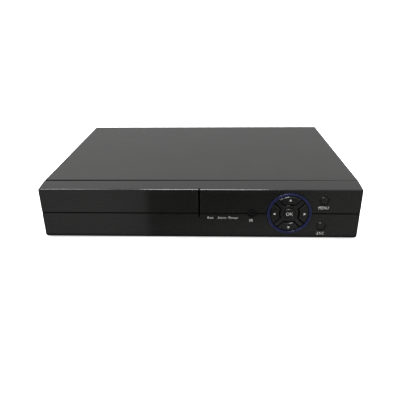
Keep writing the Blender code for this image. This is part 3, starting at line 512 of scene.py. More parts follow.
side_key = (3.7, 0.5, 6.2, 2.8, 0.25)
round_keys = {"ok": (5.1, 1.5, 7.2, 4.6, 0.0), "menu": side_key, "esc": side_key}
for name, (radius, proud, flange, flange_start, crowned) in round_keys.items():
    x, z = middle_of(f"{name}_key")
    flat = 0.04 - proud
    profile = [(i / 10 * radius, flat + crowned * (i / 8.5) ** 2) for i in range(9)]
    shoulder = profile[-1][1]
    profile += [(0.90 * radius, shoulder + 0.08), (0.97 * radius, shoulder + 0.30), (radius, shoulder + 0.6)]
    profile += [(radius, flange_start), (flange, flange_start), (flange, 5.6)]
    profile += [(1.5, 5.6), (1.5, 7.7), (0, 7.7)]
    key = shaped(f"{name}_round_key", key_abs, turned, profile, (x, face_y, z), 64, body=f"{name}_key")
    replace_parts(key, f"{name}_key")

# Printed legends
# Pad-printed white ink: plain words for the lamps, window and keys, and a triangle on each arrow key.
# The ink is matt and stands a few hundredths of a millimetre proud.

white_ink = surface("pad_printed_ink", "828381", "929290", (0.5, 0.65), 0.3, 0.002)
worn_ink = surface("worn_pad_printed_ink", "6e6f6d", "7d7d7b", (0.5, 0.65), 0.3, 0.002)
ink_depth = 0.03 * MM


def mesh_from(curve, weld):
    """The mesh of a curve or a word, with its doubles merged."""
    draft = bpy.data.objects.new(curve.name + "_draft", curve)
    bpy.context.scene.collection.objects.link(draft)
    bpy.context.view_layer.update()
    made = bpy.data.meshes.new_from_object(draft.evaluated_get(bpy.context.evaluated_depsgraph_get()))
    bpy.data.objects.remove(draft)
    bm = bmesh.new()
    bm.from_mesh(made)
    bmesh.ops.remove_doubles(bm, verts=bm.verts, dist=weld)
    return bm


def print_word(name, word, centre, width, height, front_y, body="case"):
    """Lays a word of this printed size on a face that looks towards -Y."""
    curve = bpy.data.curves.new(name, "FONT")
    curve.body = word
    curve.extrude = 0.02
    curve.offset = -0.014
    curve.space_character = 1.1
    curve.resolution_u = 3
    bm = mesh_from(curve, 0.0001)
    low = Vector([min(v.co[i] for v in bm.verts) for i in range(3)])
    high = Vector([max(v.co[i] for v in bm.verts) for i in range(3)])
    bmesh.ops.translate(bm, vec=-(low + high) / 2, verts=bm.verts)
    size = high - low
    bmesh.ops.scale(bm, vec=(width / size.x, height / size.y, ink_depth / size.z), verts=bm.verts)
    bmesh.ops.rotate(bm, matrix=Matrix.Rotation(math.pi / 2, 3, "X"), verts=bm.verts)
    bmesh.ops.translate(bm, vec=(centre[0], front_y - ink_depth / 2, centre[1]), verts=bm.verts)
    return make_piece(bm, name, white_ink, body)


labels = (
    ("Rec", 10.8, 22.9, 5.3, 2.4),
    ("Alarm", 21.3, 22.9, 7.9, 2.4),
    ("Power", 32.1, 22.9, 8.7, 2.4),
    ("IR", 48.7, 20.2, 3.4, 2.6),
    ("MENU", 114.1, 33.3, 9.2, 2.7),
    ("ESC", 113.9, 7.1, 6.5, 2.7),
)
for word, x, z, width, height in labels:
    print_word(f"legend_{word.lower()}", word, (x * MM, z * MM), width * MM, height * MM, face_y)
ok_face = face_y + (0.04 - round_keys["ok"][1]) * MM
print_word("legend_ok", "OK", dpad, 6.0 * MM, 3.0 * MM, ok_face, "ok_key")
for way, middle in ways.items():
    x, z = towards(middle, 13.6)
    bm = bmesh.new()
    face = bmesh.ops.create_circle(bm, cap_ends=True, radius=1.45 * MM, segments=3)["verts"]
    bmesh.ops.rotate(bm, matrix=Matrix.Rotation(math.pi / 2, 3, "X"), verts=face)
    tip = max(face, key=lambda v: v.co.length)
    turn = middle - math.atan2(tip.co.z, tip.co.x)
    bmesh.ops.rotate(bm, matrix=Matrix.Rotation(-turn, 3, "Y"), verts=face)
    bmesh.ops.translate(bm, vec=(x, key_front, z), verts=face)
    pushed = bmesh.ops.extrude_face_region(bm, geom=bm.faces[:])["geom"]
    moved = [item for item in pushed if isinstance(item, bmesh.types.BMVert)]
    bmesh.ops.translate(bm, vec=(0, -ink_depth, 0), verts=moved)
    make_piece(bm, f"legend_{way}_triangle", worn_ink, f"{way}_key")

# Infrared window and light pipe
# The window is a dark plastic lens that passes infrared, set back in its hole with a small dished centre.
# The light pipe is one smoky acrylic moulding whose three prongs end in the groove.

dark_lens = surface(
    "infrared_black_acrylic", "040405", "070607", (0.1, 0.16), 1.0, 0.0005, IOR=1.42, slot="dark_window"
)
lens = [(0, 3.5), (0.08, 3.3), (1.35, 0.95), (1.43, 0.7), (1.52, 0.42), (1.7, 0.32), (2.3, 0.3), (2.6, 0.45)]
lens += [(2.8, 0.8), (2.8, 2.8), (5.2, 2.8), (5.2, 4.2), (0, 4.2)]
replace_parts(shaped("window_lens", dark_lens, turned, lens, (window[0], face_y, window[1]), 48), "ir_window")
smoky_acrylic = surface(
    "smoky_acrylic", "1a1c1d", "26292a", (0.16, 0.24), 1.5, 0.0005, Transmission_Weight=0.5, IOR=1.49
)
coat("light_pipe", smoky_acrylic)

# Keypad board
# A small glass-fibre board with green solder mask, heat-staked on four posts behind the panel.
# It carries three red lamps for the light pipe and a white nylon socket for its ribbon.


def circuit_board(name, dark, light, flat):
    """Solder mask over 0.35 mm tracks, with tinned dots. flat turns the pattern into the board's plane."""
    material = bpy.data.materials.new(name)
    material["slot"] = "circuit_board"
    material.use_nodes = True
    tree = material.node_tree
    shader = tree.nodes["Principled BSDF"]
    place = add_node(tree, "ShaderNodeTexCoord", {}).outputs["Object"]
    flat_place = add_node(tree, "ShaderNodeMapping", {"Vector": place, "Rotation": flat}).outputs["Vector"]
    cell_mm, pitch_mm, dot_mm = 16, 0.9, 3.4
    cells = {"Vector": flat_place, "Scale": 1000 / cell_mm}
    squares = add_node(tree, "ShaderNodeTexVoronoi", cells, voronoi_dimensions="2D", distance="CHEBYCHEV")
    rings = {0: squares.outputs["Distance"], 1: cell_mm / pitch_mm}
    bands = add_node(tree, "ShaderNodeMath", rings, operation="MULTIPLY")
    part = add_node(tree, "ShaderNodeMath", {0: bands.outputs[0]}, operation="FRACT")
    track = add_node(tree, "ShaderNodeMath", {0: part.outputs[0], 1: 0.42}, operation="LESS_THAN")
    tones = {0: track.outputs[0], 6: srgb(dark), 7: srgb(light)}
    mask = add_node(tree, "ShaderNodeMix", tones, data_type="RGBA")
    spots = {"Vector": flat_place, "Scale": 1000 / dot_mm}
    dots = add_node(tree, "ShaderNodeTexVoronoi", spots, voronoi_dimensions="2D")
    tinned = add_node(tree, "ShaderNodeMath", {0: dots.outputs["Distance"], 1: 0.10}, operation="LESS_THAN")
    colour = {0: tinned.outputs[0], 6: mask.outputs[2], 7: srgb("b9b7ac")}
    tone = add_node(tree, "ShaderNodeMix", colour, data_type="RGBA")
    rough = add_node(tree, "ShaderNodeMix", {0: tinned.outputs[0], 2: 0.32, 3: 0.22})
    step = {"Height": track.outputs[0], "Distance": 0.03 * MM, "Strength": 0.4}
    relief = add_node(tree, "ShaderNodeBump", step)
    tree.links.new(tone.outputs[2], shader.inputs["Base Color"])
    tree.links.new(tinned.outputs[0], shader.inputs["Metallic"])
    tree.links.new(rough.outputs[0], shader.inputs["Roughness"])
    tree.links.new(relief.outputs["Normal"], shader.inputs["Normal"])
    return material


board_upright = circuit_board("solder_mask_upright", "0c3a22", "16512f", (-math.pi / 2, 0, 0))
board_flat = circuit_board("solder_mask_flat", "0c3a22", "16512f", (0, 0, 0))
white_nylon = surface("natural_nylon", "cfcbbd", "dedacc", (0.4, 0.55), 0.7, 0.004)
black_nylon = surface("black_nylon", "161616", "222221", (0.38, 0.55), 0.7, 0.006, slot="switch_plastic")
red_epoxy = surface("red_lamp_epoxy", "8c1412", "b3201c", (0.08, 0.14), 1.0, 0.001, Transmission_Weight=0.4)
gold_plate = surface("gold_plated_brass", "b08d43", "cda75a", (0.2, 0.3), 0.3, 0.002, 5, Metallic=1.0)
tin_plate = surface("tinned_steel", "a7a8a6", "c2c3c1", (0.24, 0.36), 0.5, 0.003, 6, Metallic=1.0)

low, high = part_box("keypad_board")
sheet_low, sheet_high = (low.x, keypad_y, low.z), (high.x, keypad_back, high.z)
keypad = shaped("keypad_circuit", board_upright, soft_block, sheet_low, sheet_high, 0.15 * MM, 1)
bm = bmesh.new()
for spot in stakes:
    rod_y(bm, spot, keypad_y - MM, keypad_back + MM, 1.4 * MM, 24)
carve(keypad, bm)
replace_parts(keypad, "keypad_board")
low, high = (52 * MM, keypad_back, 25 * MM), (78 * MM, keypad_back + 3 * MM, 30 * MM)
socket = shaped("keypad_ribbon_socket", white_nylon, soft_block, low, high, 0.3 * MM)
low, high = (54 * MM, keypad_back + 1.4 * MM, 26.4 * MM), (76 * MM, keypad_back + 4 * MM, 28.6 * MM)
cut(socket, block, low, high)
bm = bmesh.new()
for i in range(20):
    x = (55.5 + i) * MM
    block(bm, (x - 0.2 * MM, keypad_back, 23.8 * MM), (x + 0.2 * MM, keypad_back + 0.3 * MM, 25.1 * MM))
make_piece(bm, "keypad_ribbon_contacts", tin_plate)
bm = bmesh.new()
for x in lamps_x:
    low = (x - 0.8 * MM, keypad_y - 1.0 * MM, groove_z - 0.5 * MM)
    soft_block(bm, low, (x + 0.8 * MM, keypad_y, groove_z + 0.5 * MM), 0.2 * MM)
make_piece(bm, "keypad_lamps", red_epoxy)

# Key switches and infrared receiver
# Seven tactile switches: a black nylon body closed by a stamped steel plate, with a round plunger.
# The receiver is a block of dark epoxy with a domed lens, soldered behind the window.

for key in ("up", "down", "left", "right", "ok", "menu", "esc"):
    low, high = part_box(f"{key}_switch")
    x, z = middle_of(f"{key}_switch")
    body_y = high.y - 3.5 * MM
    body_low = (low.x, body_y + 0.35 * MM, low.z)
    body = shaped(f"{key}_switch_body", black_nylon, soft_block, body_low, high, 0.25 * MM)
    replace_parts(body, f"{key}_switch")
    plunger = [(0, -0.9), (1.4, -0.85), (1.75, -0.6), (1.75, 0.4), (0, 0.4)]
    shaped(f"{key}_switch_plunger", black_nylon, turned, plunger, (x, body_y, z), 28)
    bm = bmesh.new()
    cap_low = (low.x + 0.1 * MM, body_y + 0.02 * MM, low.z + 0.1 * MM)
    soft_block(bm, cap_low, (high.x - 0.1 * MM, body_y + 0.4 * MM, high.z - 0.1 * MM), 0.12 * MM)
    for side in (-1, 1):
        for end in (-1, 1):
            rivet = (x + side * 2.2 * MM, z + end * 2.2 * MM)
            rod_y(bm, rivet, body_y - 0.15 * MM, body_y + 0.3 * MM, 0.4 * MM, 12)
    plate = make_piece(bm, f"{key}_switch_plate", tin_plate)
    cut(plate, rod_y, (x, z), body_y - MM, body_y + MM, 1.9 * MM, 28)

low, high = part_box("ir_receiver")
bm = bmesh.new()
receiver_front = high.y - 5.0 * MM
soft_block(bm, (low.x, receiver_front, low.z), high, 0.35 * MM)
dome = [(2.2 * math.sin(a * math.pi / 16), -1.4 * math.cos(a * math.pi / 16)) for a in range(9)]
turned(bm, [*dome, (2.2, 0.3), (0, 0.3)], (window[0], receiver_front, window[1]), 28)
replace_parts(make_piece(bm, "receiver_block", dark_lens), "ir_receiver")

# Main board
# A four-layer glass-fibre board on four standoffs, with its sockets, supplies and small parts.
# Sockets are moulded nylon, the capacitors aluminium cans in printed sleeves, the coils dark ferrite.

board_low, board_high = (-37.0, -28.0, 10.0), (143.0, 100.0, 11.6)
post_places = [(x, y) for x in (-33, 139) for y in (-24, 70)]


def mm(*values):
    """Millimetres as a point in metres."""
    return Vector(values) * MM


main = shaped("main_circuit", board_flat, soft_block, mm(*board_low), mm(*board_high), 0.15 * MM, 1)
bm = bmesh.new()
for x, y in post_places:
    cylinder(bm, mm(x, y, 9), mm(x, y, 13), 1.6 * MM, 24)
carve(main, bm)
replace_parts(main, "main_board")
for number, (x, y) in enumerate(post_places, 1):
    cross_head(f"board_fixing_{number}", mm(x, y, 11.65), (0, 0, 1), (2.8, 1.7), 3.5, (1.5, 0.85))


def moulded(name, material, low, high, radius, hollows=()):
    """A moulded block with rounded edges and box-shaped hollows, all corners in millimetres."""
    made = shaped(name, material, soft_block, mm(*low), mm(*high), radius * MM)
    if hollows:
        bm = bmesh.new()
        for hollow_low, hollow_high in hollows:
            block(bm, mm(*hollow_low), mm(*hollow_high))
        carve(made, bm)
    return made


moulded("data_header", black_nylon, (-22.5, -27, 11.6), (-13.5, -20, 19.2), 0.3)
power_hollow = ((-29.2, -5.2, 14), (-18.8, 1.2, 19))
moulded("power_wafer", white_nylon, (-30, -6, 11.6), (-18, 2, 18.2), 0.3, [power_hollow])
ribbon_hollow = ((52.5, -24.6, 13.5), (77.5, -22.4, 18))
moulded("ribbon_wafer", white_nylon, (51, -26.5, 11.6), (79, -20.5, 17.2), 0.3, [ribbon_hollow])
fan_hollow = ((-33.2, 43, 13), (-28.8, 47.2, 18))
moulded("fan_wafer", white_nylon, (-34, 42, 11.6), (-28, 48, 17.2), 0.3, [fan_hollow])

mould_compound = surface(
    "epoxy_mould_compound", "1b1c1d", "252627", (0.5, 0.65), 0.35, 0.006, slot="chip_plastic"
)
ferrite = surface("sintered_ferrite", "2b2a2b", "393736", (0.6, 0.75), 0.3, 0.012)
can_metal = surface("drawn_aluminium", "a9abab", "bfc0bf", (0.22, 0.32), 0.4, 0.002, 9, Metallic=1.0)
sleeve = surface("shrunk_pvc_sleeve", "14161f", "1d2030", (0.25, 0.35), 1.2, 0.003)


def chip(name, low, high, sides, pitch, reach=1.0):
    """A moulded chip with a bright row of leads out of the sides named x, y or both, in millimetres."""
    made = shaped(name, mould_compound, soft_block, mm(*low), mm(*high), 0.12 * MM, 1)
    dot = (low[0] + 1.3, high[1] - 1.3)
    cut(made, cylinder, mm(*dot, high[2] - 0.12), mm(*dot, high[2] + 1), 0.5 * MM)
    bm = bmesh.new()
    knee = (low[2] + high[2]) / 2
    for side in sides:
        across = 0 if side == "x" else 1
        along = 1 - across
        count = int((high[along] - low[along] - 0.6) / pitch)
        first = (low[along] + high[along] - (count - 1) * pitch) / 2
        for i in range(count):
            for edge, way in ((low[across], -1), (high[across], 1)):
                for start, end, bottom, lid in (
                    (-0.2, reach * 0.5, knee - 0.1, knee + 0.1),
                    (reach * 0.35, reach * 0.55, 11.62, knee + 0.1),
                    (reach * 0.4, reach, 11.62, 11.82),
                ):
                    a, b = [0, 0, bottom], [0, 0, lid]
                    a[across], b[across] = sorted((edge + way * start, edge + way * end))
                    a[along], b[along] = first + (i - 0.22) * pitch, first + (i + 0.22) * pitch
                    block(bm, mm(*a), mm(*b))
    make_piece(bm, f"{name}_leads", tin_plate)
    return made


chip("network_transformer", (96, 58, 11.9), (112, 68, 17.2), "y", 1.27)
chip("video_decoder_1", (-10, 54, 11.9), (4, 68, 13.3), "xy", 0.8)
chip("video_decoder_2", (12, 54, 11.9), (26, 68, 13.3), "xy", 0.8)
chip("network_chip", (99, 40, 11.9), (108, 49, 13.2), "xy", 0.8)
chip("sound_chip", (36, 62, 11.9), (46, 66, 13.4), "y", 1.27)
chip("flash_chip", (36, 38, 11.9), (41, 42, 13.6), "y", 1.27)
chip("bus_chip", (-6, 22, 11.9), (2, 30, 13.2), "xy", 0.8)

up = (0, 0, 1)
ring = [(0, 11.7), (4.8, 11.7), (5, 11.9), (5, 17.2), (4.7, 17.7), (4.4, 17.7), (4.4, 17.4), (1.2, 17.4)]
shaped("alarm_sounder", black_nylon, turned, [*ring, (1.2, 16), (0, 16)], mm(129, 35, 0), 40, up)

can = [(0, 11.7), (3.7, 11.7), (4, 12), (4, 12.6), (3.7, 12.9), (3.7, 13.4), (4, 13.7), (4, 21.9)]
can += [(3.6, 22.2), (3.2, 22.2), (3.2, 21.6), (0, 21.6)]
for number, (x, y) in enumerate(((128, 62), (128, 50), (116, 14), (128, 14)), 1):
    shaped(f"supply_capacitor_{number}", sleeve, turned, can, mm(x, y, 0), 36, up)
    top = mm(x, y, 21.95)
    lid = shaped(f"capacitor_lid_{number}", can_metal, cylinder, mm(x, y, 21.4), top, 3.3 * MM, 32)
    bm = bmesh.new()
    for wide, deep in ((2.6, 0.2), (0.2, 2.6)):
        block(bm, mm(x - wide, y - deep, 21.75), mm(x + wide, y + deep, 23))
    carve(lid, bm)

for number, (x, y) in enumerate(((101, 28), (113, 28), (101, 14)), 1):
    moulded(f"supply_coil_{number}", ferrite, (x - 3.5, y - 3.5, 11.7), (x + 3.5, y + 3.5, 15.6), 0.9)
shaped("clock_crystal", can_metal, soft_block, mm(6, 8, 11.8), mm(17, 12.5, 15.2), 1.1 * MM, 4)

keep_out = [
    (-24, -28, -12, -17), (-32, -8, -16, 4), (49, -28, 81, -18), (-36, 40, -26, 50), (93, 54, 115, 71),
    (122, 28, 136, 42), (122, 44, 134, 68), (110, 8, 134, 20), (95, 8, 107, 34), (108, 23, 119, 33),
    (20, -6, 52, 28), (58, 1, 75, 18), (76, 1, 93, 18), (52, 26, 80, 54), (-13, 51, 7, 71), (9, 51, 29, 71),
    (96, 37, 111, 52), (33, 58, 49, 70), (33, 34, 44, 46), (-9, 19, 5, 33), (3, 6, 19, 15),
    (-38, -29, -28, -19), (134, -29, 144, -19), (-38, 65, -28, 75), (134, 65, 144, 75),
]
chance = random.Random(7)
bodies, ends = bmesh.new(), bmesh.new()
for _ in range(520):
    x = round(chance.uniform(-34, 140) / 1.6) * 1.6
    y = round(chance.uniform(-25, 81) / 1.6) * 1.6
    half = chance.choice(((0.5, 0.27), (0.8, 0.4), (0.8, 0.4), (1.0, 0.62)))
    if chance.random() < 0.5:
        half = half[::-1]
    if any(a - 1.2 < x < c + 1.2 and b - 1.2 < y < d + 1.2 for a, b, c, d in keep_out):
        continue
    keep_out.append((x - 1.0, y - 1.0, x + 1.0, y + 1.0))
    tall = min(half) * 1.5
    block(bodies, mm(x - half[0], y - half[1], 11.62), mm(x + half[0], y + half[1], 11.62 + tall))
    reach = (0.24, half[1] + 0.03) if half[0] > half[1] else (half[0] + 0.03, 0.24)
    for side in (-1, 1):
        spot = (x + side * half[0], y) if half[0] > half[1] else (x, y + side * half[1])
        low = mm(spot[0] - reach[0], spot[1] - reach[1], 11.61)
        block(ends, low, mm(spot[0] + reach[0], spot[1] + reach[1], 11.64 + tall))
ceramic = surface("fired_ceramic", "4c3f30", "9a8466", (0.45, 0.6), 0.5, 0.003, 6)
make_piece(bodies, "small_parts", ceramic)
make_piece(ends, "small_part_ends", tin_plate)

# Processor, heatsink, memory and clock cell
# The processor hides under an extruded heatsink in black anodised aluminium, and two memory chips flank it.
# A lithium coin cell sits in a black nylon holder under a steel spring.

coat("processor", mould_compound)
anodised = {"Metallic": 0.9, "slot": "anodised_aluminium"}
black_anodised = surface(
    "black_anodised_aluminium", "1e1f21", "2b2c2e", (0.3, 0.42), 0.25, 0.003, 20, **anodised
)
sink_low, sink_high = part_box("heatsink")
sink = shaped("finned_heatsink", black_anodised, block, sink_low, sink_high)
bm = bmesh.new()
base_z = sink_low.z + 2.5 * MM
for i in range(7):
    x = sink_low.x + (2.1 + 3.6 * i) * MM
    points = block(bm, (x, sink_low.y - MM, base_z), (x + 2.2 * MM, sink_high.y + MM, sink_high.z + MM))
    floor_points = [vert for vert in points if vert.co.z < base_z + MM / 2]
    edges = {edge for vert in floor_points for edge in vert.link_edges}
    root = [edge for edge in edges if abs(edge.verts[0].co.y - edge.verts[1].co.y) > MM]
    round_edges(bm, root, 0.6 * MM, 3)
for spot in (4, 24):
    start, end = sink_low.y + spot * MM, sink_low.y + (spot + 1.2) * MM
    block(bm, (sink_low.x - MM, start, base_z), (sink_high.x + MM, end, sink_high.z + MM))
carve(sink, bm)
soften_edges(sink, "extrusion_radius", 0.15 * MM, 1, 60)
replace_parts(sink, "heatsink")
for number, x in enumerate((60, 78), 1):
    memory = chip(f"memory_{number}", (x + 0.5, 4, 11.9), (x + 12.5, 15, 13.1), "x", 0.8, 0.9)
    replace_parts(memory, f"memory_chip_{number}")

low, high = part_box("cell_holder")
centre = Vector(((low.x + high.x) / 2, (low.y + high.y) / 2, 0))
well = [(0, 11.9), (11.7, 11.9), (12, 12.2), (12, 16.5), (11.6, 16.9), (10.5, 16.9), (10.3, 16.7)]
well += [(10.3, 13.4), (0, 13.4)]
holder = shaped("clock_cell_holder", black_nylon, turned, well, centre, 56, up)
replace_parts(holder, "cell_holder")
cut(holder, block, centre + mm(-4, -13, 14.4), centre + mm(4, -9.6, 18))
cell_low, cell_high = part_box("coin_cell")
base_h, lid_h = cell_low.z / MM, cell_high.z / MM
cell = [(0, base_h), (9.4, base_h), (9.6, base_h + 0.9), (9.9, base_h + 1.1), (10, base_h + 1.5)]
cell += [(10, lid_h - 0.5), (9.85, lid_h - 0.12), (9.5, lid_h), (7.6, lid_h), (7.5, lid_h - 0.06)]
cell.append((0, lid_h - 0.06))
bright_steel = surface(
    "bright_stainless_steel", "b4b5b5", "cacbca", (0.16, 0.26), 0.5, 0.002, 12, Metallic=1.0
)
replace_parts(shaped("clock_cell", bright_steel, turned, cell, centre, 56, up), "coin_cell")

# Camera jacks
# Four board-mounted bayonet jacks in nickel-plated zinc, each on a black nylon block behind the wall.
# Two lugs lock the plug, a white insulator holds the centre contact, and a knurled collar meets the wall.

nickel_plate = surface(
    "nickel_plated_zinc", "a5a29c", "c0bdb6", (0.18, 0.3), 0.4, 0.002, 7, Metallic=1.0, slot="nickel_plate"
)
white_fluoropolymer = surface("white_fluoropolymer", "d5d3cb", "e4e2da", (0.45, 0.6), 0.6, 0.003)
rear_y = cover_high.y
wall_inner, wall_outer = rear_y - 2.3 * MM, rear_y - 1.3 * MM
for number, x in enumerate((-29, -13, 3, 19), 1):
    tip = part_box(f"camera_jack_{number}")[1].y / MM
    z = 20.5
    centre = (x * MM, 0, z * MM)
    bm = bmesh.new()
    shell = [(0, tip - 9), (4.1, tip - 9), (4.1, tip - 0.4), (4.4, tip), (4.8, tip - 0.35), (4.8, tip - 5.0)]
    shell.append((4.5, tip - 5.2))
    for i in range(4):
        ridge = tip - 5.6 - i * 0.9
        shell += [(4.5, ridge), (4.8, ridge - 0.25), (4.8, ridge - 0.45), (4.5, ridge - 0.7)]
    shell += [(4.5, 102.6), (0, 102.6)]
    turned(bm, shell, centre, 56)
    for side in (-1, 1):
        start, end = mm(x + side * 4.4, tip - 3.5, z), mm(x + side * 5.65, tip - 3.5, z)
        cylinder(bm, start, end, 1.0 * MM, 20, 0.85 * MM)
    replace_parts(make_piece(bm, f"bayonet_barrel_{number}", nickel_plate), f"camera_jack_{number}")
    core = [(0, tip - 9.2), (2.4, tip - 9.2), (2.4, tip - 2.2), (2.2, tip - 2.0), (0.85, tip - 2.0)]
    core += [(0.85, tip - 8), (0, tip - 8)]
    shaped(f"jack_insulator_{number}", white_fluoropolymer, turned, core, centre, 36)
    tube = [(0.45, tip - 7.9), (0.8, tip - 7.9), (0.8, tip - 2.1), (0.5, tip - 1.9), (0.45, tip - 2.1)]
    shaped(f"jack_contact_{number}", gold_plate, turned, [*tube, tube[0]], centre, 20)
    block_high = (x + 6.5, wall_inner / MM - 0.3, 27.5)
    moulded(f"jack_block_{number}", black_nylon, (x - 6.5, 85, 11.9), block_high, 0.6)

# Sound jacks
# A stacked pair of coaxial jacks on one black nylon block: nickel-plated rings round red and white inserts.
# They solder to the board and pass through two round holes in the wall.

red_polymer = surface("red_moulded_polymer", "8f1a17", "a8231e", (0.3, 0.42), 0.7, 0.003)
moulded("sound_jack_block", black_nylon, (29.8, 88, 11.9), (40.2, wall_inner / MM - 0.3, 34.5), 0.5)
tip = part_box("audio_jack")[1].y / MM
shell = [(3.3, 102.4), (3.3, tip - 0.3), (3.6, tip), (3.85, tip), (4.1, tip - 0.4), (4.1, tip - 6.5)]
shell += [(4.4, tip - 6.6), (4.4, tip - 7.4), (4.1, 102.4), (3.3, 102.4)]
core = [(0, 102.4), (3.28, 102.4), (3.28, tip - 0.7), (3.0, tip - 0.5), (2.0, tip - 0.5), (1.7, tip - 0.8)]
core += [(1.7, tip - 7), (0, tip - 7)]
for number, (z, insert) in enumerate(((16.5, white_fluoropolymer), (28.5, red_polymer)), 1):
    centre = mm(35, 0, z)
    ring_piece = shaped(f"sound_ring_{number}", nickel_plate, turned, shell, centre, 48)
    shaped(f"sound_insert_{number}", insert, turned, core, centre, 40)
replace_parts(ring_piece, "audio_jack")

# Video port
# A fifteen-way socket: blue insulator in a drawn steel D-shaped shell, with two hexagonal jack posts.
# The posts screw through the wall into the socket's flange.

blue_polymer = surface("blue_moulded_polymer", "14336e", "1c4284", (0.35, 0.48), 0.7, 0.003, slot="port_blue")
vga_x, vga_z = 59.5, 19.5


def d_outline(half_top, half_bottom, half_height, corner, steps=4):
    """A D-shaped socket's outline of (x, z) points in millimetres."""
    outline = []
    corners = ((half_top, half_height), (-half_top, half_height))
    corners += ((-half_bottom, -half_height), (half_bottom, -half_height))
    for quarter, (x, z) in enumerate(corners):
        middle = (x - math.copysign(corner, x), z - math.copysign(corner, z))
        for i in range(steps + 1):
            angle = math.pi / 2 * (quarter + i / steps)
            outline.append((middle[0] + corner * math.cos(angle), middle[1] + corner * math.sin(angle)))
    return outline


vga_tip = rear_y + 5 * MM
place = mm(vga_x, vga_z)
outline = d_outline(8.3, 7.0, 4.1, 1.5)
video_shell = shaped("video_shell", nickel_plate, slab, outline, wall_inner - MM, vga_tip, place)
cut(video_shell, slab, d_outline(7.9, 6.6, 3.7, 1.3), vga_tip - 5 * MM, vga_tip + MM, place)
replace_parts(video_shell, "vga_port")
core_low, core_high = vga_tip - 5.2 * MM, vga_tip - 0.5 * MM
outline = d_outline(7.5, 6.2, 3.3, 1.1)
video_core = shaped("video_insulator", blue_polymer, slab, outline, core_low, core_high, place)
bm = bmesh.new()
for row, shift in ((2.0, 0.0), (0.0, 0.6), (-2.0, 0.0)):
    for i in range(5):
        x = vga_x + (i - 2) * 2.3 + shift
        rod_y(bm, mm(x, vga_z + row), vga_tip - 4 * MM, vga_tip + MM, 0.5 * MM, 12)
carve(video_core, bm)
moulded("video_block", blue_polymer, (44.1, 92, 11.9), (74.9, wall_inner / MM - 0.9, 25.7), 0.4)
low, high = mm(44.1, wall_inner / MM - 0.9, 13.5), mm(74.9, wall_inner / MM - 0.3, 25.7)
shaped("video_flange", nickel_plate, soft_block, low, high, 0.2 * MM)
for side in (-1, 1):
    bm = bmesh.new()
    start = mm(vga_x + side * 12.5, wall_outer / MM, vga_z)
    end = start + mm(0, 5, 0)
    cylinder(bm, start, end, 2.7 * MM, 6)
    outer_rim = [edge for edge in bm.edges if all(v.co.y > start.y + MM for v in edge.verts)]
    round_edges(bm, outer_rim, 0.3 * MM, 2)
    post = make_piece(bm, f"video_post_{'left' if side < 0 else 'right'}", zinc_plate)
    cut(post, cylinder, start + mm(0, 1.5, 0), end + mm(0, 1, 0), 1.25 * MM, 20)

# Digital video, network, data and power sockets
# Three drawn steel shells that stand a little proud of the wall, with their tongues and gilt contacts.
# The power inlet is black nylon round a nickel-plated pin.

shield_steel = surface(
    "drawn_tinned_steel", "9fa09e", "b7b8b6", (0.26, 0.38), 0.5, 0.003, 9, Metallic=1.0, slot="shield_steel"
)
end = (rear_y + 0.6 * MM) / MM
outline = [(-7.5, 6.2), (-7.5, 1.8), (-6.2, 0.0), (6.2, 0.0), (7.5, 1.8), (7.5, 6.2)]
hdmi_shell = shaped("digital_video_shell", shield_steel, slab, outline, 92 * MM, end * MM, mm(85.5, 11.9))
mouth = [(-7.0, 5.7), (-7.0, 2.0), (-5.9, 0.5), (5.9, 0.5), (7.0, 2.0), (7.0, 5.7)]
cut(hdmi_shell, slab, mouth, (end - 10) * MM, (end + 1) * MM, mm(85.5, 11.9))
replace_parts(hdmi_shell, "hdmi_port")


def tongue(name, x, z, half, thick, material, contacts):
    """A plastic tongue with a row of gilt contacts on its underside and top."""
    moulded(name, material, (x - half, end - 10.5, z), (x + half, end - 1.2, z + thick), 0.15)
    bm = bmesh.new()
    pitch = (2 * half - 1.4) / (contacts - 1)
    for i in range(contacts):
        spot = x - half + 0.7 + i * pitch
        wide = min(pitch * 0.3, 0.5)
        for face in (z - 0.05, z + thick - 0.05):
            block(bm, mm(spot - wide, end - 9.5, face), mm(spot + wide, end - 1.8, face + 0.1))
    make_piece(bm, f"{name}_contacts", gold_plate)


tongue("digital_video_tongue", 85.5, 14.6, 5.4, 1.3, black_nylon, 10)
lan_mouth = [((96.9, end - 12, 13.2), (111.1, end + 1, 23.0))]
lan_mouth.append(((99.4, end - 12, 22.9), (108.6, end + 1, 24.6)))
lan_shell = moulded("network_shell", shield_steel, (96, 85, 11.9), (112, end, 25.5), 0.3, lan_mouth)
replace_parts(lan_shell, "lan_port")
bm = bmesh.new()
for i in range(8):
    x = 104 + (i - 3.5) * 1.02
    points = block(bm, mm(x - 0.2, end - 10.5, 14.2), mm(x + 0.2, end - 2.0, 14.5))
    bmesh.ops.rotate(bm, cent=mm(x, end - 2.0, 14.2), matrix=Matrix.Rotation(-0.5, 3, "X"), verts=points)
make_piece(bm, "network_contacts", gold_plate)
moulded("network_insert", black_nylon, (97.1, end - 11.8, 13.3), (110.9, end - 10.4, 23.0), 0.2)
amber = surface("amber_lamp_epoxy", "b06a10", "c98220", (0.1, 0.18), 1.0, 0.001, Transmission_Weight=0.3)
green = surface("green_lamp_epoxy", "1e7a34", "2c9446", (0.1, 0.18), 1.0, 0.001, Transmission_Weight=0.3)
moulded("network_lamp_left", green, (96.95, end - 5, 23.2), (99.3, end + 0.05, 24.9), 0.2)
moulded("network_lamp_right", amber, (108.7, end - 5, 23.2), (111.05, end + 0.05, 24.9), 0.2)
usb_mouths = [((115.6, end - 11, z), (127.4, end + 1, z + 5.3)) for z in (12.9, 21.2)]
usb_shell = moulded("data_shell", shield_steel, (114.9, 88, 11.9), (128.1, end, 27.6), 0.3, usb_mouths)
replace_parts(usb_shell, "usb_port")
tongue("data_tongue_lower", 121.5, 15.6, 5.2, 1.6, black_nylon, 4)
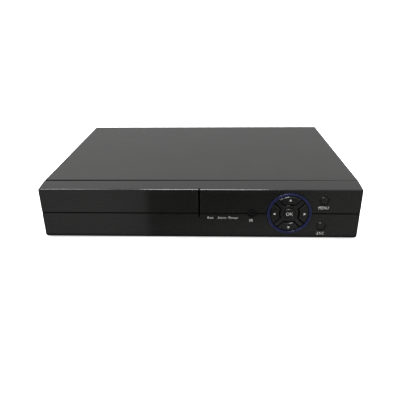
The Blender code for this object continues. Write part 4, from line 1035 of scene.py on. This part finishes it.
tongue("data_tongue_upper", 121.5, 23.9, 5.2, 1.6, black_nylon, 4)

inlet = moulded("power_socket", black_nylon, (132, 90, 11.9), (141, end, 22.9), 0.5)
cut(inlet, rod_y, mm(136.5, 17.9), (end - 9.5) * MM, (end + 1) * MM, 3.1 * MM, 40)
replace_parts(inlet, "power_inlet")
pin = [(0, end - 9.6), (1.0, end - 9.6), (1.0, end - 1.4), (0.7, end - 1.0), (0, end - 1.0)]
shaped("power_pin", nickel_plate, turned, pin, mm(136.5, 0, 17.9), 24)

# Hard drive
# A die-cast aluminium base under a stamped lid held by seven small screws, with a plain paper label.
# Its own board and sockets hide underneath, and four screws hold it to the tray from below.

cast_aluminium = surface(
    "die_cast_aluminium", "8b8d8f", "a0a2a3", (0.38, 0.55), 0.9, 0.02, 30, Metallic=0.9, slot="drive_casting"
)
stamped_lid = surface("stamped_aluminium", "a6a8a9", "bbbdbd", (0.28, 0.4), 0.35, 0.003, 40, Metallic=1.0)
paper_label = surface("coated_paper", "d4d5d3", "e0e0de", (0.4, 0.55), 0.4, 0.002)
drive_low, drive_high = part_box("hard_drive")
dx, dy, dz = drive_low.x / MM, drive_low.y / MM, drive_low.z / MM
wide, long, tall = 101.6, 147.0, 26.1
drive_holes = [(x, y) for x in (-47.625, 47.625) for y in (-30, 14.5)]


def running(bm, axis, least):
    """The edges that run at least this far along an axis."""
    return [edge for edge in bm.edges if abs(edge.verts[0].co[axis] - edge.verts[1].co[axis]) > least]


bm = bmesh.new()
block(bm, mm(dx, dy, dz), mm(dx + wide, dy + long, dz + tall - 1.4))
round_edges(bm, running(bm, 2, MM), 2.5 * MM, 5)
rim_z = drive_high.z - 5 * MM
round_edges(bm, [edge for edge in bm.edges if all(v.co.z > rim_z for v in edge.verts)], 0.8 * MM, 2)
casting = make_piece(bm, "drive_casting", cast_aluminium)
bm = bmesh.new()
block(bm, mm(dx + 12, dy - 1, dz - 1), mm(dx + wide - 12, dy + 100, dz + 2.5))
block(bm, mm(dx + 28, dy - 1, dz - 1), mm(dx + 76, dy + 10, dz + 8.5))
for side in (dx - 1, dx + wide - 5):
    for y in (28.5, 70, 130):
        cylinder(bm, mm(side, dy + y, dz + 6.3), mm(side + 6, dy + y, dz + 6.3), 1.7 * MM, 20)
for x, y in drive_holes:
    cylinder(bm, mm(dx + wide / 2 + x, y, dz - 1), mm(dx + wide / 2 + x, y, dz + 5), 1.8 * MM, 20)
carve(casting, bm)
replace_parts(casting, "hard_drive")
bm = bmesh.new()
lid_z = dz + tall - 1.4
block(bm, mm(dx + 1.6, dy + 1.6, lid_z - 0.2), mm(dx + wide - 1.6, dy + long - 1.6, lid_z + 0.9))
round_edges(bm, running(bm, 2, 0.5 * MM), 3.5 * MM, 6)
bmesh.ops.recalc_face_normals(bm, faces=bm.faces)
upper = [max(bm.faces, key=lambda face: face.calc_center_median().z)]
bmesh.ops.inset_region(bm, faces=upper, thickness=2.6 * MM, depth=0)
bmesh.ops.inset_region(bm, faces=upper, thickness=0.5 * MM, depth=0.5 * MM)
lid = make_piece(bm, "drive_lid", stamped_lid)
bm = bmesh.new()
for x, y, radius, sides in ((50.8, 96, 14, 64), (24, 30, 5, 40)):
    start, end = mm(dx + x, dy + y, lid_z + 1.1), mm(dx + x, dy + y, lid_z + 3)
    cylinder(bm, start, end, radius * MM, sides, (radius + 1) * MM)
carve(lid, bm)
screws = [(6, 6), (95.6, 6), (6, 73.5), (95.6, 73.5), (6, 141), (95.6, 141), (50.8, 96)]
for number, (x, y) in enumerate(screws, 1):
    place = mm(dx + x, dy + y, lid_z + (0.7 if number < 7 else 0.9))
    screw = shaped(f"drive_lid_screw_{number}", bright_steel, pan_head, place, up, 2.0, 0.6, 1)
    cut(screw, cylinder, mm(dx + x, dy + y, lid_z + 0.8), mm(dx + x, dy + y, lid_z + 3), 0.8 * MM, 6)
low, high = mm(dx + 14, dy + 12, lid_z + 1.38), mm(dx + 87.6, dy + 78, lid_z + 1.44)
label = shaped("drive_label", paper_label, soft_block, low, high, 0.02 * MM, 1)
cut(label, cylinder, mm(dx + 24, dy + 30, lid_z + 1), mm(dx + 24, dy + 30, lid_z + 3), 7 * MM, 40)

moulded("drive_circuit", board_flat, (dx + 13, dy + 1, dz + 0.5), (dx + wide - 13, dy + 98, dz + 2.0), 0.1)
socket_low, socket_high = (dx + 30, dy, dz + 0.5), (dx + 74, dy + 8, dz + 7.5)
drive_socket = moulded("drive_socket", black_nylon, socket_low, socket_high, 0.3)
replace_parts(drive_socket, "drive_board")
for number, (x, y) in enumerate(drive_holes, 1):
    low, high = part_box(f"drive_screw_{number}")
    spot = Vector(((low.x + high.x) / 2, (low.y + high.y) / 2, low.z + 1.3 * MM))
    shank_end = -(high.z - spot.z) / MM
    head = [(0, 1.3), (1.6, 1.25), (2.3, 0.95), (2.9, 0.3), (3.0, 0), (1.4, 0)]
    head += [(1.4, shank_end), (0, shank_end)]
    screw = shaped(f"drive_fixing_{number}", zinc_plate, turned, head, spot, 32, (0, 0, -1))
    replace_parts(screw, f"drive_screw_{number}")
    bm = bmesh.new()
    for across, deep in ((1.6, 0.35), (0.35, 1.6)):
        block(bm, spot - mm(across, deep, 2), spot + mm(across, deep, -0.5))
    carve(screw, bm)

# Fan
# A 40 mm axial fan: glossy black frame with three struts and a seven-bladed rotor, moulded in filled nylon.
# It draws air out through the slots in the rear wall, and four screws hold it from outside.

fan_low, fan_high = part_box("fan_frame")
fx, fz = (fan_low.x + fan_high.x) / 2 / MM, (fan_low.z + fan_high.z) / 2 / MM
fan_front, fan_back = fan_low.y / MM, fan_high.y / MM
half = (fan_high.x - fan_low.x) / 2 / MM
filled_nylon = surface("glass_filled_nylon", "151515", "1f1f1e", (0.28, 0.4), 0.5, 0.005, slot="fan_plastic")
bm = bmesh.new()
block(bm, mm(fx - half, fan_front, fz - half), mm(fx + half, fan_back, fz + half))
round_edges(bm, running(bm, 1, MM), 2.6 * MM, 6)
fan_body = make_piece(bm, "fan_housing", filled_nylon)
bm = bmesh.new()
flare = [(0, fan_front - 1), (19.2, fan_front - 1), (19.2, fan_front), (18.8, fan_front + 1.2)]
flare += [(18.8, fan_back - 1.2), (19.2, fan_back), (19.2, fan_back + 1), (0, fan_back + 1)]
turned(bm, flare, mm(fx, 0, fz), 72)
for side in (-1, 1):
    for level in (-1, 1):
        place = mm(fx + side * 16, fz + level * 16)
        rod_y(bm, place, (fan_front - 1) * MM, (fan_back + 1) * MM, 1.7 * MM, 24)
carve(fan_body, bm)
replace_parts(fan_body, "fan_frame")
motor = [(0, fan_front), (9.4, fan_front), (10, fan_front + 0.4), (10, fan_front + 1.5)]
motor.append((0, fan_front + 1.5))
cut(fan_body, turned, motor, mm(fx, 0, fz), 48, operation="UNION")
for spoke in range(3):
    angle = math.radians(90 + 120 * spoke)
    bm = bmesh.new()
    points = block(bm, mm(9, fan_front + 0.02, -1), mm(19.4, fan_front + 1.48, 1))
    bmesh.ops.rotate(bm, matrix=Matrix.Rotation(-angle, 3, "Y"), verts=points)
    bmesh.ops.translate(bm, vec=mm(fx, 0, fz), verts=points)
    carve(fan_body, bm, "UNION")
sticker_y = ((fan_front - 0.06) * MM, (fan_front + 0.1) * MM)
shaped("fan_sticker", paper_label, rod_y, mm(fx, fz), *sticker_y, 8.4 * MM, 48)

hub_low, hub_high = fan_front + 2.0, fan_back - 0.8
bm = bmesh.new()
hub = [(0, hub_low), (10.5, hub_low), (10.5, hub_high - 0.9), (10.1, hub_high - 0.25), (9.4, hub_high)]
turned(bm, [*hub, (0, hub_high)], mm(fx, 0, fz), 48)
for blade in range(7):
    sheet_mesh = bmesh.new()
    made = bmesh.ops.create_grid(sheet_mesh, x_segments=5, y_segments=5, size=0.5)["verts"]
    for vert in made:
        along, across = vert.co.x + 0.5, vert.co.y
        radius = 9.8 + 8.2 * along
        swing = math.tau * blade / 7 + across * 0.62 + 0.10 * along
        lift = across * 5.6 + 0.5 * math.cos(math.pi * across)
        y = (hub_low + hub_high) / 2 + lift
        vert.co = mm(fx + radius * math.cos(swing), y, fz + radius * math.sin(swing))
    bmesh.ops.recalc_face_normals(sheet_mesh, faces=sheet_mesh.faces)
    bmesh.ops.solidify(sheet_mesh, geom=sheet_mesh.faces, thickness=0.8 * MM)
    copied = bpy.data.meshes.new("blade")
    sheet_mesh.to_mesh(copied)
    sheet_mesh.free()
    bm.from_mesh(copied)
    bpy.data.meshes.remove(copied)
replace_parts(make_piece(bm, "fan_blades", filled_nylon, "rotor"), "fan_rotor")
for number, (side, level) in enumerate(((-1, -1), (1, -1), (-1, 1), (1, 1)), 1):
    spot = mm(fx + side * 16, wall_outer / MM, fz + level * 16)
    cross_head(f"fan_fixing_{number}", spot, (0, 1, 0), (2.6, 1.5), 6, (1.4, 0.8))

# Inner cables
# A flat red data cable, four round power wires, a grey ribbon for the keypad and a two-wire fan lead.
# All are soft PVC over copper, and their nylon plugs push on to the sockets.

red_pvc = surface("red_pvc", "8c1216", "a51a1e", (0.32, 0.45), 0.8, 0.004, slot="cable_red")
black_pvc = surface("black_pvc", "151515", "1e1e1e", (0.35, 0.48), 0.8, 0.004, slot="cable_black")
yellow_pvc = surface("yellow_pvc", "b8930f", "cda81c", (0.35, 0.48), 0.8, 0.004)
grey_pvc = surface("grey_pvc", "b3b3ae", "c3c3be", (0.4, 0.52), 0.8, 0.004, slot="ribbon_white")


def through(route, steps=8):
    """Points on a smooth curve through a route given in millimetres."""
    points = [mm(*point) for point in route]
    padded = [2 * points[0] - points[1], *points, 2 * points[-1] - points[-2]]
    found = []
    for a, b, c, d in zip(padded, padded[1:], padded[2:], padded[3:]):
        for step in range(steps):
            t = step / steps
            bend = (2 * a - 5 * b + 4 * c - d) * t**2 + (3 * b - a - 3 * c + d) * t**3
            found.append((2 * b + (c - a) * t + bend) / 2)
    return [*found, points[-1]]


def flat_cable(name, route, across, thick, material, wires=0):
    """A ribbon: the route swept across, thickened and softened at its edges, its width cut into strips when
    wires are given.
    """
    bm = bmesh.new()
    line = [bm.verts.new(point) for point in through(route)]
    edges = [bm.edges.new(pair) for pair in zip(line, line[1:])]
    pushed = bmesh.ops.extrude_edge_only(bm, edges=edges)["geom"]
    moved = [item for item in pushed if isinstance(item, bmesh.types.BMVert)]
    bmesh.ops.translate(bm, vec=mm(*across), verts=moved)
    if wires:
        width = mm(*across).length
        cross = [e for e in bm.edges if abs((e.verts[0].co - e.verts[1].co).length - width) < 1e-6]
        bmesh.ops.subdivide_edges(bm, edges=cross, cuts=wires * 2 - 1, use_grid_fill=True)
    made = make_piece(bm, name, material)
    thicken = made.modifiers.new("insulation", "SOLIDIFY")
    thicken.thickness = thick * MM
    thicken.offset = 0
    made.modifiers.move(1, 0)
    soften_edges(made, "rounded_edges", thick * 0.3 * MM, 2, 60)
    return made


def round_wire(name, route, radius, material, shift=(0, 0, 0)):
    """A round wire along the route, moved sideways by shift."""
    curve = bpy.data.curves.new(name, "CURVE")
    curve.dimensions = "3D"
    curve.bevel_depth = radius * MM
    curve.bevel_resolution = 3
    curve.use_fill_caps = True
    points = through(route, 6)
    spline = curve.splines.new("POLY")
    spline.points.add(len(points) - 1)
    for spot, point in zip(spline.points, points):
        spot.co = (*(point + mm(*shift)), 1)
    return make_piece(mesh_from(curve, 0.001 * MM), name, material)


plug_y = drive_low.y / MM - 0.3
data_x = dx + 67
data_route = [(data_x, plug_y - 12, 9), (data_x + 1, plug_y - 18, 9), (data_x + 10, -86, 9)]
data_route += [(data_x + 26, -87, 9), (data_x + 43, -80, 9), (-19.5, -64, 11.5), (-18, -48, 13)]
data_route.append((-18, -38, 13))
data_lead = flat_cable("data_lead", data_route, (0, 0, 7), 1.3, red_pvc)
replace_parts(data_lead, "sata_cable")
moulded("data_plug_drive", black_nylon, (data_x - 6, plug_y - 14, 7.9), (data_x + 6, plug_y, 15), 0.6)
moulded("data_plug_board", black_nylon, (-22.5, -40.5, 12.2), (-13.5, -27.3, 20.5), 0.6)
power_x = dx + 46
power_route = [(power_x, plug_y - 10, 12.5), (power_x, plug_y - 17, 15), (power_x + 8, -82, 23)]
power_route += [(power_x + 28, -79, 27), (-48, -74, 28), (-35, -60, 28.5), (-30, -36, 28), (-26, -14, 27)]
power_route += [(-24, -4, 23.5), (-24, -2, 20.5)]
wires = (("yellow", yellow_pvc, 1.05, 1.05), ("black_1", black_pvc, -1.05, 1.05))
wires += (("black_2", black_pvc, 1.05, -1.05), ("red", red_pvc, -1.05, -1.05))
for word, material, aside, above in wires:
    wire = round_wire(f"power_wire_{word}", power_route, 1.0, material, (aside * 0.7, aside * 0.7, above))
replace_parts(wire, "drive_power_cable")
plug_low, plug_high = (power_x - 11.5, plug_y - 12, 7.9), (power_x + 11.5, plug_y, 14)
moulded("power_plug_drive", black_nylon, plug_low, plug_high, 0.6)
moulded("power_plug_board", white_nylon, (-29.5, -5.5, 18.5), (-18.5, 1.5, 22.7), 0.4)
ribbon_y = keypad_back / MM
ribbon_route = [(55, ribbon_y + 3.3, 27.5), (55, ribbon_y + 7, 27.7), (55, -87, 26.2), (55, -70, 20)]
ribbon_route += [(55, -52, 15), (55, -35, 14.5), (55, -26.8, 14.8)]
keypad_lead = flat_cable("keypad_lead", ribbon_route, (20, 0, 0), 0.8, grey_pvc)
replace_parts(keypad_lead, "keypad_ribbon")
fan_route = [(fx + 12, 90.5, fz + 12), (fx + 20, 89, fz + 15), (fx + 36, 89.5, fz + 12), (-43, 89, 30)]
fan_route += [(-38, 82, 27), (-36, 68, 25), (-32.5, 53, 24), (-31, 45.5, 22.5)]
lead = round_wire("fan_wire_red", fan_route, 0.6, red_pvc, (0.4, 0.4, 0.3))
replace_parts(lead, "fan_lead")
round_wire("fan_wire_black", fan_route, 0.6, black_pvc, (-0.4, -0.4, -0.3))
moulded("fan_plug", white_nylon, (-33.5, 42.5, 17.5), (-28.5, 47.5, 22.7), 0.4)

# Studio
# A white floor that glows a little and a white room, with soft boxes above, seen from above the lid.
# A dark card lies in front of the recorder and never shows itself; it glows in graded greys for the glossy
# panel to mirror, a painted reflection, and its glow fades out at the panel's foot, a painted shadow.

lit = {"Emission_Color": (1, 1, 1, 1), "Emission_Strength": 0.7}
paper = surface("lit_white_acrylic", "f2f2f2", "f6f6f6", (0.85, 0.95), 0.8, 0.002, 300, **lit)
bm = bmesh.new()
bmesh.ops.create_grid(bm, x_segments=1, y_segments=1, size=40)
floor = make_piece(bm, "studio_floor", paper)

# The card's graded glow is a painted reflection for the glossy panel: lighter to the left and right, darkest
# in the middle.
reflection_card_material = bpy.data.materials.new("painted_reflection_card")
reflection_card_material.use_nodes = True
tree = reflection_card_material.node_tree
tree.nodes.clear()
place = add_node(tree, "ShaderNodeTexCoord", {}).outputs["Object"]
split = add_node(tree, "ShaderNodeSeparateXYZ", {"Vector": place})
aside = add_node(tree, "ShaderNodeMath", {0: split.outputs["X"], 1: 0.0155}, operation="SUBTRACT")
ahead = add_node(tree, "ShaderNodeMath", {0: 0.2429, 1: split.outputs["Y"]}, operation="SUBTRACT")
spread = add_node(tree, "ShaderNodeMath", {0: aside.outputs[0], 1: ahead.outputs[0]}, operation="DIVIDE")
spread = {"Value": spread.outputs[0], "From Min": -0.5, "From Max": 0.5}
across = add_node(tree, "ShaderNodeMapRange", spread)
tones = []
far_reflection_tones = [(0.00, 0.49), (0.20, 0.51), (0.31, 0.45), (0.335, 0.13), (0.50, 0.10), (0.64, 0.12)]
near_reflection_tones = [(0.00, 0.46), (0.20, 0.48), (0.31, 0.43), (0.335, 0.20), (0.45, 0.22), (0.60, 0.32)]
stops = ([*far_reflection_tones, (0.80, 0.36), (1.0, 0.40)], [*near_reflection_tones, (0.80, 0.38), (1.0, 0.40)])
for band in stops:
    ramp = add_node(tree, "ShaderNodeValToRGB", {"Fac": across.outputs[0]})
    ramp.color_ramp.interpolation = "EASE"
    while len(ramp.color_ramp.elements) < len(band):
        ramp.color_ramp.elements.new(0.5)
    for stop, (position, value) in zip(ramp.color_ramp.elements, band):
        stop.position = position
        stop.color = (value, value, value, 1)
    tones.append(ramp.outputs["Color"])
near = {"Value": split.outputs["Y"], "From Min": -0.19, "From Max": -0.13}
nearness = add_node(tree, "ShaderNodeMapRange", near, interpolation_type="SMOOTHSTEP")
tone = add_node(tree, "ShaderNodeMix", {0: nearness.outputs[0], 6: tones[0], 7: tones[1]}, data_type="RGBA")
# Painted shadow: the glow fades almost to nothing at the panel's foot, so the panel's bottom edge mirrors
# dark.
painted_foot_shadow = {"Value": split.outputs["Y"], "From Min": -0.124, "From Max": -0.118, "To Min": 1.0, "To Max": 0.05}
foot_shadow_fade = add_node(tree, "ShaderNodeMapRange", painted_foot_shadow)
reflection_glow = add_node(tree, "ShaderNodeEmission", {"Color": tone.outputs[2], "Strength": foot_shadow_fade.outputs[0]})
add_node(tree, "ShaderNodeOutputMaterial", {"Surface": reflection_glow.outputs[0]})
bm = bmesh.new()
block(bm, (-0.6, -0.9, 0.0004), (0.6, face_y - 2 * MM, 0.0008))
block(bm, (panel_low.x, face_y - 2 * MM, 0.0004), (panel_high.x, panel_back, 0.0008))
card = make_piece(bm, "gloss_card", reflection_card_material)
card.visible_camera = False
card.visible_diffuse = False
card.visible_shadow = False
card.visible_transmission = False


def soft_box(name, place, aim, size, radiance):
    """A rectangular area light at place that looks at aim, its radiance in watts from a square metre."""
    light = bpy.data.lights.new(name, "AREA")
    light.shape = "RECTANGLE"
    light.size, light.size_y = size
    light.energy = radiance * math.pi * size[0] * size[1]
    obj = bpy.data.objects.new(name, light)
    obj.location = place
    obj.rotation_euler = (Vector(aim) - Vector(place)).to_track_quat("-Z", "Y").to_euler()
    bpy.context.scene.collection.objects.link(obj)
    return obj


edge_middle = Vector((0, face_y, panel_high.z))
overhead = Vector((0, -0.41, 0.91))
soft_box("edge_box", edge_middle + overhead + Vector((-0.025, 0, 0)), edge_middle, (0.40, 0.4), 34)
soft_box("edge_box_left", edge_middle + overhead + Vector((-0.50, 0, 0)), edge_middle, (0.13, 0.4), 44)

sun = bpy.data.lights.new("even_light", "SUN")
sun.energy = 1.2
sun.angle = math.radians(70)
sky = bpy.data.objects.new("even_light", sun)
sky.rotation_euler = (math.radians(12), 0, 0)
bpy.context.scene.collection.objects.link(sky)

world = bpy.data.worlds.new("white_room")
world.use_nodes = True
tree = world.node_tree
backdrop = tree.nodes["Background"]
way = add_node(tree, "ShaderNodeTexCoord", {}).outputs["Generated"]
split = add_node(tree, "ShaderNodeSeparateXYZ", {"Vector": way})
rise = add_node(tree, "ShaderNodeValToRGB", {"Fac": split.outputs["Z"]})
wall_tones = ((0.0, 0.66), (0.12, 0.60), (0.30, 0.57), (0.45, 0.68), (1.0, 0.72))
while len(rise.color_ramp.elements) < len(wall_tones):
    rise.color_ramp.elements.new(0.5)
for stop, (height, value) in zip(rise.color_ramp.elements, wall_tones):
    stop.position = height
    stop.color = (value, value, value, 1)
lean_values = {"Value": split.outputs["X"], "From Min": -0.6, "From Max": 0.6}
lean_values |= {"To Min": 1.09, "To Max": 0.91}
lean = add_node(tree, "ShaderNodeMapRange", lean_values)
tone = add_node(tree, "ShaderNodeMath", {0: rise.outputs[0], 1: lean.outputs[0]}, operation="MULTIPLY")
seen = add_node(tree, "ShaderNodeLightPath", {}).outputs["Is Camera Ray"]
strength = add_node(tree, "ShaderNodeMix", {0: seen, 2: tone.outputs[0], 3: 1.05})
tree.links.new(strength.outputs[0], backdrop.inputs["Strength"])
backdrop.inputs["Color"].default_value = (1, 1, 1, 1)
bpy.context.scene.world = world
bpy.context.scene.view_settings.view_transform = "Standard"

lens = bpy.data.cameras.new("view_camera")
lens.lens = 38.6
lens.sensor_width = 36
lens.clip_start = 0.01
camera = bpy.data.objects.new("view_camera", lens)
right, up = Vector((0.99933, 0.03466, -0.01190)), Vector((-0.00350, 0.41371, 0.91040))
back = right.cross(up)
turn = Matrix((right, up, back)).transposed().to_4x4()
camera.matrix_world = Matrix.Translation((0.01552, -0.47157, 0.20327)) @ turn
bpy.context.scene.collection.objects.link(camera)
bpy.context.scene.camera = camera
